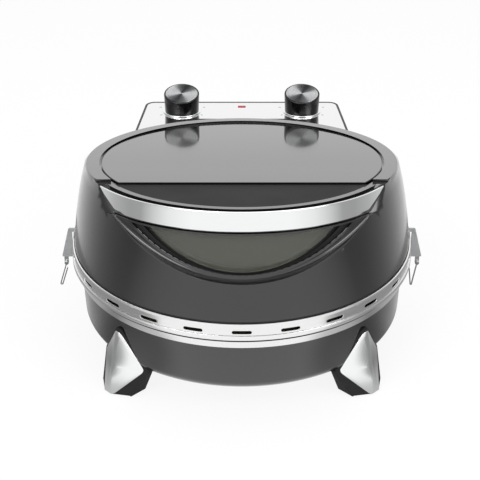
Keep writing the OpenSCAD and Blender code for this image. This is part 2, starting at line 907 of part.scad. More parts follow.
// The lid's closed outer form: the wall cut by the tilted top and its front step
module lid_form() {
    intersection() {
        lid_wall();
        rim_outline();
        across([
            [-reach, lid_z - 1], [-reach, lip_at(-reach)],
            [-fold_y, lip_at(-fold_y)], [-fold_y, rim_at(-fold_y)],
            [reach, rim_at(reach)], [reach, lid_z - 1],
        ]);
    }
}

// The room inside the lid's moulding
module lid_cavity() {
    under = panel_t + skin;
    steps = 6;
    bend_z = handle_at(0) + 4;
    top_z = handle_at(-handle_r) - 2.5;
    intersection() {
        rotate_extrude() polygon(concat(
            [[0, lid_z - 1], [lid_r(lid_z) - wall, lid_z - 1]],
            [for (k = [0:steps]) let (z = lid_z + (bend_z - lid_z) * k / steps)
                [lid_r(z) - wall, z]],
            [[header_r, top_z], [header_r, lid_top], [0, lid_top]]));
        translate([0, 0, -wall * 1.2]) rim_outline();
        across([
            [-reach, lid_z - 2], [-reach, grip_at(-reach) - under],
            [-panel_y + wall, grip_at(-panel_y + wall) - under],
            [-panel_y + wall, disc_at(-panel_y + wall) - under],
            [reach, disc_at(reach) - under], [reach, lid_z - 2],
        ]);
    }
}

// Space between the handle's upper and lower planes, ahead of its slanted ends
module handle_side(top, low, ends) {
    end_lean = 1.14;
    end_z = handle_top_at(-handle_end_y);
    across_z = [lid_z - 20, lid_top + 40];
    intersection() {
        across([
            [-reach, handle_at(-reach) + low], [-reach, handle_top_at(-reach) + top],
            [0, handle_top_at(0) + top], [0, handle_at(0) + low],
        ]);
        across([
            for (z = across_z) [-handle_end_y - ends - end_lean * (end_z - z), z],
            [-2 * reach, across_z[1]], [-2 * reach, across_z[0]],
        ]);
    }
}

module outside_of(r) {
    ring(reach, r, lid_z - 5, lid_top + 45);
}

// Below the underside of the shelf that closes the window recess
module under_shelf(drop) {
    across([
        [-reach, lid_z - 10], [-reach, handle_at(-reach) - drop],
        [0, handle_at(0) - drop], [0, lid_z - 10],
    ]);
}

module lid_shell() {
    shelf_low = shelf_drop + shelf_t;
    color("#4c4c4c") difference() {
        union() {
            difference() {
                lid_form();
                lid_cavity();
            }
            intersection() {
                lid_form();
                fore_aft(recess_arc + wall, recess_z - wall, -reach, -window_y);
                outside_of(recess_r - wall);
                under_shelf(shelf_drop);
            }
            intersection() {
                ring(recess_r - 1, header_r + 1, lid_z + 10, lid_top);
                across([
                    [-reach, handle_at(-reach) - shelf_drop],
                    [-reach, handle_at(-reach) - shelf_low],
                    [-window_y, handle_at(-window_y) - shelf_low],
                    [-window_y, handle_at(-window_y) - shelf_drop],
                ]);
            }
        }
        intersection() {
            outside_of(lip_r);
            handle_side(20, -shelf_drop, -0.4);
        }
        intersection() {
            fore_aft(recess_arc, recess_z, -reach, -window_y);
            outside_of(recess_r);
            under_shelf(shelf_drop);
        }
        intersection() {
            fore_aft(frame_arc - 2, frame_z + 2, -reach, -window_y);
            under_shelf(shelf_low);
            outside_of(hole_r - 11);
        }
        intersection() {
            fore_aft(frame_arc + gap, frame_z - gap, -reach, -window_y);
            under_shelf(shelf_low);
            ring(recess_r - wall, glass_r - 3, lid_z + 10, lid_top);
        }
        intersection() {
            within(hole_r);
            across([
                [-panel_y, disc_at(-panel_y) - panel_t], [-panel_y, lid_top + 40],
                [reach, lid_top + 40], [reach, disc_at(reach) - panel_t],
            ]);
        }
        intersection() {
            within(hole_r);
            across([
                [-panel_y + eps, grip_at(-panel_y + eps) - panel_t - 0.02],
                [-panel_y + eps, lid_top + 40],
                [-reach, lid_top + 40], [-reach, grip_at(-reach) - panel_t - 0.02],
            ]);
        }
    }
}

module lid_trim_ring() {
    out_r = lid_low_r - 0.6;
    in_r = lid_r(lid_z + 8) - wall - 0.1;
    color("#9a9a9a") rotate_extrude() polygon([
        [in_r - 2, lid_z - 2.2], [out_r, lid_z - 2.2], [out_r, lid_z - 1.1],
        [in_r, lid_z - 1.1], [in_r, lid_z + 8], [in_r - 2, lid_z + 8],
    ]);
}

module top_panel() {
    color("#6d6d6d") intersection() {
        within(hole_r - disc_gap);
        across([
            [-panel_y, disc_at(-panel_y) - panel_t + gap / 4],
            [-panel_y, disc_at(-panel_y)],
            [reach, disc_at(reach)], [reach, disc_at(reach) - panel_t + gap / 4],
        ]);
    }
}

// Lower panel behind the handle, with the riser that closes the step
module grip_panel() {
    riser_t = 1.8;
    y0 = -panel_y - 0.1;
    color("#303030") intersection() {
        within(hole_r - gap);
        across([
            [y0, grip_at(y0) - panel_t], [y0, disc_at(y0)],
            [y0 - riser_t, disc_at(y0) - 0.5], [y0 - riser_t, grip_at(y0 - riser_t)],
            [-reach, grip_at(-reach)], [-reach, grip_at(-reach) - panel_t],
        ]);
    }
}

module handle_band() {
    color("#e8e8e8") intersection() {
        ring(handle_r, handle_r - handle_t, lid_z, lid_top + 5);
        handle_side(0, 0, 0);
    }
}

module handle_backing() {
    color("#262626") intersection() {
        ring(handle_r - handle_t - 0.1, lip_r + 0.1, lid_z, lid_top + 5);
        handle_side(-2, 0.8, 1.5);
    }
}

module window_frame() {
    color("#2c2c2c") intersection() {
        ring(recess_r - wall - 0.1, glass_r - 2, lid_z + 10, lid_top);
        difference() {
            fore_aft(frame_arc, frame_z, -reach, -window_y);
            fore_aft(glass_arc + gasket_w + 0.1, glass_z - gasket_w - 0.1, -reach, -window_y);
        }
        under_shelf(shelf_drop + shelf_t + 0.3);
    }
}

module window_gasket() {
    color("#101010") intersection() {
        ring(glass_r + 0.6, glass_r - glass_t + 0.2, lid_z + 10, lid_top);
        difference() {
            fore_aft(glass_arc + gasket_w, glass_z - gasket_w, -reach, -window_y);
            fore_aft(glass_arc + 0.1, glass_z - 0.1, -reach, -window_y);
        }
        under_shelf(shelf_drop + shelf_t + 0.4);
    }
}

module window_glass() {
    color("#6a6a62", 0.45) intersection() {
        ring(glass_r, glass_r - glass_t, lid_z + 10, lid_top);
        fore_aft(glass_arc, glass_z, -reach, -window_y);
        under_shelf(shelf_drop + shelf_t + 0.5);
    }
}

roof_drop = 9.7;        // the reflector's roof below the rim's plane
roof_max = rim_z - 3.1; // its flat front part
roof_y = (rim_z - roof_drop - roof_max) / rim_fall;
tilt = atan(rim_fall);

// The bright inner lid that throws heat down, with its own window opening
module reflector_form(inset) {
    low_z = lid_z + 1 - 2 * inset;
    knee_r = header_r + 1.5;
    intersection() {
        rotate_extrude() polygon([
            [0, low_z], [lid_low_r - 8.5 - inset, low_z],
            [knee_r - inset, lid_z + 32 - inset],
            [knee_r - 3 - inset, lid_top], [0, lid_top],
        ]);
        across([
            [-reach, lid_z - 5], [-reach, roof_max - inset], [roof_y, roof_max - inset],
            [reach, roof_max - inset - rim_fall * (reach - roof_y)], [reach, lid_z - 5],
        ]);
    }
}

module lid_reflector() {
    flange_r = lid_r(lid_z + 8) - wall - 2.4;
    color("#cfcfcf") difference() {
        union() {
            reflector_form(0);
            ring(flange_r, lid_low_r - 11, lid_z + 1, lid_z + 1 + sheet);
        }
        reflector_form(sheet);
        intersection() {
            fore_aft(glass_arc - 3, glass_z + 3, -reach, -window_y);
            ring(reach, hole_r - 5.6, lid_z + 10, roof_max - 5);
        }
        for (side = [-1, 1]) upper_leg(side, tube_r + 0.4);
    }
}

loop_drop = 27;         // the upper element below the rim's plane
top_loop_z = rim_z - loop_drop;
top_loop_r = loop_r - 6;
leg_end_r = hole_r + 10.4;

module upper_leg(side, r) {
    x = side * top_loop_r * sin(leg_angle);
    translate([0, 0, top_loop_z]) rotate([-tilt, 0, 0])
        translate([x, top_loop_r * cos(leg_angle), 0]) rotate([-90, 0, 0])
            cylinder(r = r, h = leg_end_r - top_loop_r * cos(leg_angle));
}

module upper_element() {
    color("#55504c") {
        translate([0, 0, top_loop_z]) rotate([-tilt, 0, 0]) {
            tube_loop(top_loop_r, 0);
            for (side = [-1, 1])
                translate([side * top_loop_r * sin(leg_angle), top_loop_r * cos(leg_angle), 0])
                    sphere(r = tube_r + 0.6);
        }
        for (side = [-1, 1]) upper_leg(side, tube_r);
    }
}

// Clips from the reflector's roof: two where it slopes and one where it is flat
module upper_element_clips() {
    slope_room = (loop_drop - roof_drop - sheet) * cos(tilt);
    flat_room = (roof_max - sheet - top_loop_z - rim_fall * top_loop_r) * cos(tilt) - 0.9;
    color("#b8b8b8") translate([0, 0, top_loop_z]) rotate([-tilt, 0, 0])
        for (turn = [20, 160, 270]) rotate([0, 0, turn]) mirror([0, 0, 1])
            element_clip(top_loop_r, turn == 270 ? -flat_room : -slope_room, 0);
}

// ---------------------------------------------------------------- latches

// Upright fin on the lid's side with a foot that follows the wall; it stops
// short of the band, which it passes as the lid lifts
module hasp(side) {
    foot_half = 9;
    foot_t = 1.6;
    step_z = lid_z + 1.2;
    color("#a2a2a2") on_right(side) difference() {
        union() {
            rotate([90, 0, 0]) linear_extrude(height = hasp_t, center = true) polygon([
                [lid_low_r - 15, step_z], [hasp_in_x, step_z], [hasp_in_x, hasp_low_z],
                [hasp_low_x - 0.6, hasp_low_z], [hasp_low_x, hasp_low_z + 0.8],
                [hasp_top_x + 0.3, hasp_top_z - 0.9], [hasp_top_x - 0.5, hasp_top_z],
                [lid_low_r - 15, hasp_top_z],
            ]);
            intersection() {
                lid_wall(foot_t);
                translate([lid_low_r - 10, -foot_half, step_z])
                    cube([20, 2 * foot_half, hasp_top_z - step_z]);
            }
        }
        lid_wall(0.02);
    }
}

// A strip of sheet that follows a line of [x, z] points, as wide as a clip
module clip_strip(path) {
    rotate([90, 0, 0]) linear_extrude(height = clip_w, center = true) polygon(concat(
        [for (k = [0:len(path) - 1]) mitre(path, k, clip_t / 2)],
        [for (k = [len(path) - 1:-1:0]) mitre(path, k, -clip_t / 2)]));
}

module along_y(r, y0, y1) {
    translate([0, y1, 0]) rotate([90, 0, 0]) cylinder(r = r, h = y1 - y0);
}

// Tab behind the fin that carries the clip's pin
module latch_hanger(side) {
    tab_t = 1.2;
    tab_y = hasp_t / 2 + eps;
    color("#b4b4b4") on_right(side) translate([clip_x, 0, clip_z]) difference() {
        union() {
            along_y(eye_r, tab_y, tab_y + tab_t);
            translate([-eye_r, tab_y, 0])
                cube([2 * eye_r, tab_t, hasp_low_z + 7 - clip_z]);
        }
        along_y(latch_pin_r + run, -10, 10);
    }
}

// Hairpin spring clip: an eye, a long leg, a tight bend and a short leg. The
// left one hangs open and narrow, the right one is sprung against the band
module latch_lever(side) {
    open = side < 0;
    bend_r = open ? 1.1 : 0.7;
    tip = open ? [-2.4, -5] : [-6.7, -7.1];
    bend_z = -clip_len + bend_r + clip_t / 2;
    color("#c6c6c6") on_right(side) translate([clip_x, 0, clip_z])
        rotate([0, open ? -free_lean : -shut_lean, 0]) difference() {
            union() {
                clip_strip(concat([[0, -1.5]],
                    [for (turn = [0:-30:-180])
                        [-bend_r + bend_r * cos(turn), bend_z + bend_r * sin(turn)]],
                    [tip]));
                along_y(eye_r, -clip_w / 2, clip_w / 2);
            }
            along_y(latch_pin_r + run, -10, 10);
        }
}

module latch_pins() {
    head_t = 0.7;
    tab_end = hasp_t / 2 + eps + 1.2;
    color("#c0c0c0") for (side = [-1, 1]) on_right(side) translate([clip_x, 0, clip_z]) {
        along_y(latch_pin_r, -clip_w / 2 - 0.2 - head_t, tab_end + 0.2 + head_t);
        along_y(latch_pin_r + 0.6, -clip_w / 2 - 0.2 - head_t, -clip_w / 2 - 0.2);
        along_y(latch_pin_r + 0.6, tab_end + 0.2, tab_end + 0.2 + head_t);
    }
}

// ---------------------------------------------------------------- nodes

base_bowl();
base_plate();
trim_flange();
slotted_band();
inner_tray();
lower_element();
lower_element_clips();
baking_stone();
front_foot(-1);  // front_foot_left
front_foot(1);  // front_foot_right
foot_inlay(-1);  // foot_inlay_left
foot_inlay(1);  // foot_inlay_right
rear_feet();
foot_pads();
control_housing();
housing_floor();
control_panel();
indicator_lens();
pilot_lamp();
knob_collar(-1);  // knob_collar_left
knob_collar(1);  // knob_collar_right
control_mechanism(-1, "#d9d3c0");  // timer_mechanism
control_mechanism(1, "#c9c9c9");  // thermostat_mechanism
knob_shaft(-1);  // timer_shaft
knob_body(-1);  // timer_knob
knob_cap(-1);  // timer_knob_cap
knob_shaft(1);  // thermostat_shaft
knob_body(1);  // thermostat_knob
knob_cap(1);  // thermostat_knob_cap
terminal_block();
cord_gland();
hinge_brackets();
hinge_pins();
hinge_arms();
lid_shell();
lid_trim_ring();
top_panel();
grip_panel();
handle_band();
handle_backing();
window_frame();
window_gasket();
window_glass();
lid_reflector();
upper_element();
upper_element_clips();
hasp(-1);  // hasp_left
hasp(1);  // hasp_right
latch_hanger(-1);  // latch_hanger_left
latch_hanger(1);  // latch_hanger_right
latch_lever(-1);  // latch_lever_left
latch_lever(1);  // latch_lever_right
latch_pins();
base_screws();
housing_screws();
hinge_screws();
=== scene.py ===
"""Countertop pizza oven: finishes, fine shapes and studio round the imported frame."""

import json
import logging
import math
from collections.abc import Callable, Sequence
from dataclasses import dataclass
from enum import Enum
from typing import Any

import bmesh
import bpy
import numpy as np
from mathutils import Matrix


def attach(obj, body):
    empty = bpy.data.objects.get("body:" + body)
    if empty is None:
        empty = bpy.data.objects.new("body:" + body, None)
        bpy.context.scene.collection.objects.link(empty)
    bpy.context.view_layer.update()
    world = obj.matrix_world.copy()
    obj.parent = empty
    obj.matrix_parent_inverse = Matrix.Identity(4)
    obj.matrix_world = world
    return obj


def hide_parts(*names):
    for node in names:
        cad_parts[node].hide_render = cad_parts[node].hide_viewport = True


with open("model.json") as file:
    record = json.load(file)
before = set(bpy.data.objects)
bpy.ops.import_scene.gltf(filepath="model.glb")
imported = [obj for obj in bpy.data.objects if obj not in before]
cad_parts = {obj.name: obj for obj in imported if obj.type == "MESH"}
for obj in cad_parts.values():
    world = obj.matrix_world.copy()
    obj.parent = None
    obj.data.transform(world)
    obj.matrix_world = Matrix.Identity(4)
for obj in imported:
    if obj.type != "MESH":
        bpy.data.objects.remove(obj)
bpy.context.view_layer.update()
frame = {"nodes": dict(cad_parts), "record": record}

MM = 0.001
LOG = logging.getLogger("pizza_oven")

Colour = tuple[float, float, float, float]
Place = tuple[float, float, float]
Tones = tuple[tuple[float, float], ...]
Height = Callable[[np.ndarray, np.ndarray], np.ndarray]
Tree = bpy.types.NodeTree
Node = bpy.types.Node
Socket = bpy.types.NodeSocket

WHITE: Colour = (1.0, 1.0, 1.0, 1.0)
LEVEL: Place = (1.0, 1.0, 0.0)      # multiplies a place to drop its height


def stood(name: str, data: bpy.types.ID) -> bpy.types.Object:
    """Makes an object of a mesh, lamp or camera and links it to the scene."""
    obj = bpy.data.objects.new(name, data)
    bpy.context.scene.collection.objects.link(obj)
    return obj


# ------------------------------------------------------------------ materials


def linear(hex_colour: str) -> Colour:
    """Turns an sRGB hex colour into the linear values that shaders take.

    Args:
        hex_colour: Six hex digits after a hash.

    Returns:
        Linear red, green and blue, and an alpha of 1.
    """
    srgb = np.array([int(hex_colour[k:k + 2], 16) for k in (1, 3, 5)]) / 255.0
    low = srgb / 12.92
    high = ((srgb + 0.055) / 1.055) ** 2.4
    return (*np.where(srgb <= 0.04045, low, high).tolist(), 1.0)


def per_mm(size: float) -> float:
    """Scale of a pattern whose cells are this many millimetres wide."""
    return 1.0 / (size * MM)


def emptied(owner: bpy.types.Material | bpy.types.World) -> Tree:
    """Switches a material or a world to nodes and returns its tree, empty."""
    owner.use_nodes = True
    owner.node_tree.nodes.clear()
    return owner.node_tree


def add(tree: Tree, kind: str, inputs: dict[str | int, Any] | None = None,
        stops: Sequence[tuple[float, Colour]] = (), **settings: Any) -> Node:
    """Adds one node, sets its properties and fills or links its inputs.

    Args:
        tree: Node tree to add to.
        kind: Blender's type name of the node.
        inputs: Input name or index, to a value, to the socket that feeds it, or to a node
            whose first output does.
        stops: Place and colour of each stop, for a colour ramp.
        **settings: Properties of the node itself.

    Returns:
        The new node.
    """
    node = tree.nodes.new(kind)
    for key, value in settings.items():
        setattr(node, key, value)
    for key, value in (inputs or {}).items():
        if isinstance(value, Node):
            value = value.outputs[0]
        if isinstance(value, Socket):
            tree.links.new(value, node.inputs[key])
        else:
            node.inputs[key].default_value = value
    if stops:
        elements = node.color_ramp.elements
        for _ in stops[len(elements):]:
            elements.new(0.5)
        for element, (place, colour) in zip(elements, stops):
            element.position, element.color = place, colour
    return node


class Brushing(Enum):
    """Which way the fine scratches of a brushed metal run."""

    ROUND = "round the oven's axis"
    ALONG_X = "from side to side"


@dataclass(frozen=True)
class Finish:
    """A surface finish, from which one material is made.

    Attributes:
        name: What the real surface is called.
        colour: Main colour, sRGB hex.
        roughness: Mean roughness.
        metallic: 1 for bare metal.
        ior: Index of refraction of what isn't metal.
    """

    name: str
    colour: str
    roughness: float = 0.4
    metallic: float = 0.0
    ior: float = 1.5

    def pattern(self, tree: Tree, place: Socket) -> dict[str, Any]:
        """Works out the shader inputs that vary, or that only this finish has.

        Args:
            tree: Node tree to add to.
            place: The point on the object's own axes, in metres.

        Returns:
            Name of each shader input, to its value or to what feeds it.
        """
        return {}

    def drift(self, low: float, high: float) -> dict[str, float]:
        """Maps nearly all of a noise onto a range of roughness, in shares of its mean."""
        return {"From Min": 0.3, "From Max": 0.7,
                "To Min": low * self.roughness, "To Max": high * self.roughness}

    def material(self) -> bpy.types.Material:
        """Builds the material.

        Returns:
            A new node-based material.
        """
        made = bpy.data.materials.new(self.name)
        tree = emptied(made)
        place = add(tree, "ShaderNodeTexCoord").outputs["Object"]
        shader = add(tree, "ShaderNodeBsdfPrincipled", {
            "Base Color": linear(self.colour), "Roughness": self.roughness,
            "Metallic": self.metallic, "IOR": self.ior, **self.pattern(tree, place)})
        add(tree, "ShaderNodeOutputMaterial", {"Surface": shader})
        return made


@dataclass(frozen=True)
class MetallicEnamel(Finish):
    """Stoved dark paint with a fine metal fleck under a clear, slightly wavy coat.

    Attributes:
        fleck: Colour of the fleck.
        fleck_mm: Distance between flecks, drawn coarser than real so that it shows.
        peel_mm: Width of the clear coat's waves.
        coat: Weight of the clear coat.
        coat_roughness: Its roughness.
        sag: How far the mirror leans back, as sheet does that has sagged behind; the
            height that the normal is taken from falls along Y by this share.
    """

    fleck: str = "#5c5c5e"
    fleck_mm: float = 0.9
    peel_mm: float = 5.0
    coat: float = 0.25
    coat_roughness: float = 0.12
    sag: float = 0.0

    def pattern(self, tree: Tree, place: Socket) -> dict[str, Any]:
        """Speckles the colour with fleck and gives the coat its orange peel."""
        grains = add(tree, "ShaderNodeTexVoronoi", {
            "Vector": place, "Scale": per_mm(self.fleck_mm)})
        body = linear(self.colour)
        tint = add(tree, "ShaderNodeValToRGB", {"Fac": grains},
                   [(0.0, linear(self.fleck)), (0.42, body), (1.0, body)])
        wave = add(tree, "ShaderNodeTexNoise", {
            "Vector": place, "Scale": per_mm(self.peel_mm), "Detail": 2.0})
        rough = add(tree, "ShaderNodeMapRange", {"Value": wave, **self.drift(0.92, 1.08)})
        varied = {"Base Color": tint, "Roughness": rough, "Coat Weight": self.coat,
                  "Coat Roughness": self.coat_roughness}
        if not self.sag:
            peel = add(tree, "ShaderNodeBump", {"Height": wave, "Distance": 0.02 * MM})
            return varied | {"Normal": peel}
        parts = add(tree, "ShaderNodeSeparateXYZ", {"Vector": place})
        fall = add(tree, "ShaderNodeMath", {0: parts.outputs["Y"], 1: -self.sag},
                   operation="MULTIPLY")
        lean = add(tree, "ShaderNodeBump", {"Height": fall, "Distance": 1.0})
        return varied | {"Normal": lean, "Coat Normal": lean}


@dataclass(frozen=True)
class BrushedMetal(Finish):
    """Bare metal with fine parallel scratches from an abrasive belt.

    Attributes:
        way: Which way the scratches run.
        scratch_mm: Width of a scratch, drawn coarser than real so that it shows.
        length: Length of a scratch, in widths.
        ring: Radius of a ring in metres, which turns an angle into a length.
        contrast: How far the roughness swings, as a share of its mean.
    """

    metallic: float = 1.0
    way: Brushing = Brushing.ROUND
    scratch_mm: float = 0.5
    length: float = 60.0
    ring: float = 0.17
    contrast: float = 0.3

    def pattern(self, tree: Tree, place: Socket) -> dict[str, Any]:
        """Varies roughness and relief by a noise that is drawn out along the brushing.

        On a ring it is read at (angle, height, radius), so it runs round the axis.
        """
        fine = per_mm(self.scratch_mm)
        along = fine / self.length
        if self.way is Brushing.ROUND:
            along *= self.ring
            parts = add(tree, "ShaderNodeSeparateXYZ", {"Vector": place})
            angle = add(tree, "ShaderNodeMath", {
                0: parts.outputs["Y"], 1: parts.outputs["X"]}, operation="ARCTAN2")
            flat = add(tree, "ShaderNodeVectorMath", {0: place, 1: LEVEL},
                       operation="MULTIPLY")
            radius = add(tree, "ShaderNodeVectorMath", {0: flat}, operation="LENGTH")
            place = add(tree, "ShaderNodeCombineXYZ", {
                "X": angle, "Y": parts.outputs["Z"], "Z": radius.outputs["Value"]})
        drawn = add(tree, "ShaderNodeMapping", {"Vector": place, "Scale": (along, fine, fine)})
        lines = add(tree, "ShaderNodeTexNoise", {"Vector": drawn, "Scale": 1.0, "Detail": 2.0})
        return {
            "Roughness": add(tree, "ShaderNodeMapRange", {
                "Value": lines, **self.drift(1 - self.contrast, 1 + self.contrast)}),
            "Normal": add(tree, "ShaderNodeBump", {
                "Height": lines, "Distance": 0.004 * MM, "Strength": 0.6})}


@dataclass(frozen=True)
class MouldedPlastic(Finish):
    """Injection-moulded plastic or rubber with the fine grain of a spark-eroded tool.

    Attributes:
        grain_mm: Width of the grain, drawn coarser than real so that it shows.
        grain_depth_mm: Its depth.
    """

    grain_mm: float = 0.8
    grain_depth_mm: float = 0.03
    ior: float = 1.46

    def pattern(self, tree: Tree, place: Socket) -> dict[str, Any]:
        """Adds the grain and a slow drift of gloss."""
        grain = add(tree, "ShaderNodeTexNoise", {
            "Vector": place, "Scale": per_mm(self.grain_mm), "Detail": 4.0})
        slow = add(tree, "ShaderNodeTexNoise", {
            "Vector": place, "Scale": per_mm(40.0), "Detail": 1.0})
        return {
            "Roughness": add(tree, "ShaderNodeMapRange", {
                "Value": slow, **self.drift(0.94, 1.06)}),
            "Normal": add(tree, "ShaderNodeBump", {
                "Height": grain, "Distance": self.grain_depth_mm * MM})}


@dataclass(frozen=True)
class PlatedMetal(Finish):
    """Polished or plated metal with a faint haze from handling.

    Attributes:
        haze: Roughness that the haze adds.
    """

    metallic: float = 1.0
    haze: float = 0.04

    def pattern(self, tree: Tree, place: Socket) -> dict[str, Any]:
        """Lets the haze come and go over a few centimetres."""
        cloud = add(tree, "ShaderNodeTexNoise", {
            "Vector": place, "Scale": per_mm(22.0), "Detail": 3.0})
        return {"Roughness": add(tree, "ShaderNodeMapRange", {
            "Value": cloud, **self.drift(1, 1 + self.haze / self.roughness)})}


@dataclass(frozen=True)
class TurnedMetal(Finish):
    """A lathe-turned face: hairline rings about the knob's own axis, and a painted highlight
    fan in its colour.

    Attributes:
        centre: Where the axis stands, in millimetres.
        ring_mm: Distance between the rings, drawn coarser than real so that it shows.
        painted_highlight_deg: Direction of the painted highlight fan.
        dark: Painted shade colour, across the fan.
        bright: Painted highlight colour, along the fan.
    """

    metallic: float = 1.0
    centre: Place = (0.0, 0.0, 0.0)
    ring_mm: float = 0.7
    painted_highlight_deg: float = -22.0
    dark: str = "#2e2f30"
    bright: str = "#b4b5b6"

    def pattern(self, tree: Tree, place: Socket) -> dict[str, Any]:
        """Cuts the rings and paints a highlight fan into the colour about the centre.

        The painted highlight in the colour follows |cos(angle - fan)| plus a quarter of the
        rings, and the real stretched highlight lies along Z crossed with the way from the
        centre.
        """
        moved = add(tree, "ShaderNodeVectorMath", {
            0: place, 1: tuple(value * MM for value in self.centre)}, operation="SUBTRACT")
        flat = add(tree, "ShaderNodeVectorMath", {0: moved, 1: LEVEL}, operation="MULTIPLY")
        radius = add(tree, "ShaderNodeVectorMath", {0: flat}, operation="LENGTH")
        rings = add(tree, "ShaderNodeTexNoise", {
            "W": radius.outputs["Value"], "Scale": per_mm(self.ring_mm), "Detail": 3.0},
            noise_dimensions="1D")
        parts = add(tree, "ShaderNodeSeparateXYZ", {"Vector": moved})
        angle = add(tree, "ShaderNodeMath", {0: parts.outputs["Y"], 1: parts.outputs["X"]},
                    operation="ARCTAN2")
        swung = add(tree, "ShaderNodeMath", {0: angle, 1: math.radians(self.painted_highlight_deg)},
                    operation="SUBTRACT")
        wave = add(tree, "ShaderNodeMath", {0: swung}, operation="COSINE")
        fan = add(tree, "ShaderNodeMath", {0: wave}, operation="ABSOLUTE")
        # Painted highlight and painted shade: the base colour brightens along the fan and
        # darkens across it.
        painted_highlight_tone = add(tree, "ShaderNodeMath", {0: rings, 1: 0.25, 2: fan},
                   operation="MULTIPLY_ADD")
        around_axis = add(tree, "ShaderNodeVectorMath", {0: (0.0, 0.0, 1.0), 1: moved},
                          operation="CROSS_PRODUCT")
        return {
            "Anisotropic": 0.75,
            "Roughness": add(tree, "ShaderNodeMapRange", {
                "Value": rings, **self.drift(0.7, 1.3)}),
            "Base Color": add(tree, "ShaderNodeValToRGB", {"Fac": painted_highlight_tone}, [
                (0.25, linear(self.dark)), (0.72, linear(self.colour)),
                (1.0, linear(self.bright))]),
            "Tangent": add(tree, "ShaderNodeVectorMath", {0: around_axis},
                           operation="NORMALIZE"),
            "Normal": add(tree, "ShaderNodeBump", {
                "Height": rings, "Distance": 0.01 * MM, "Strength": 0.5})}


@dataclass(frozen=True)
class BakingStone(Finish):
    """Pressed cordierite: sandy body, darker grit and small open pores.

    Attributes:
        grit: Colour of the grit.
        crumb: Colour of the palest grains.
    """

    grit: str = "#7d7059"
    crumb: str = "#d9caa6"

    def pattern(self, tree: Tree, place: Socket) -> dict[str, Any]:
        """Mixes grit into the body and sinks the pores."""
        grit = add(tree, "ShaderNodeTexNoise", {
            "Vector": place, "Scale": per_mm(1.6), "Detail": 6.0})
        return {
            "Base Color": add(tree, "ShaderNodeValToRGB", {"Fac": grit}, [
                (0.30, linear(self.grit)), (0.48, linear(self.colour)),
                (1.0, linear(self.crumb))]),
            "Normal": add(tree, "ShaderNodeBump", {"Height": grit, "Distance": 0.25 * MM})}


@dataclass(frozen=True)
class HeatedTube(Finish):
    """Sheath of a heating element, browned in bands by use.

    Attributes:
        tint: Colour where the heat has browned it.
    """

    tint: str = "#3d3330"

    def pattern(self, tree: Tree, place: Socket) -> dict[str, Any]:
        """Drifts between the sheath's grey and the heat's brown, over a fine scale."""
        heat = add(tree, "ShaderNodeTexNoise", {
            "Vector": place, "Scale": per_mm(18.0), "Detail": 3.0})
        scale = add(tree, "ShaderNodeTexNoise", {
            "Vector": place, "Scale": per_mm(0.8), "Detail": 3.0})
        return {
            "Base Color": add(tree, "ShaderNodeValToRGB", {"Fac": heat}, [
                (0.35, linear(self.colour)), (0.62, linear(self.tint))]),
            "Normal": add(tree, "ShaderNodeBump", {"Height": scale, "Distance": 0.03 * MM})}


@dataclass(frozen=True)
class TintedGlass(Finish):
    """Toughened glass, lightly smoked through its thickness.

    Attributes:
        clear: Share of light that passes; the smoke scatters the rest.
    """

    roughness: float = 0.0
    clear: float = 0.86

    def pattern(self, tree: Tree, place: Socket) -> dict[str, Any]:
        """Adds the faint roller wave of toughened glass."""
        wave = add(tree, "ShaderNodeTexNoise", {
            "Vector": place, "Scale": per_mm(45.0), "Detail": 1.0})
        return {"Transmission Weight": self.clear,
                "Normal": add(tree, "ShaderNodeBump", {
                    "Height": wave, "Distance": 0.02 * MM, "Strength": 0.5})}


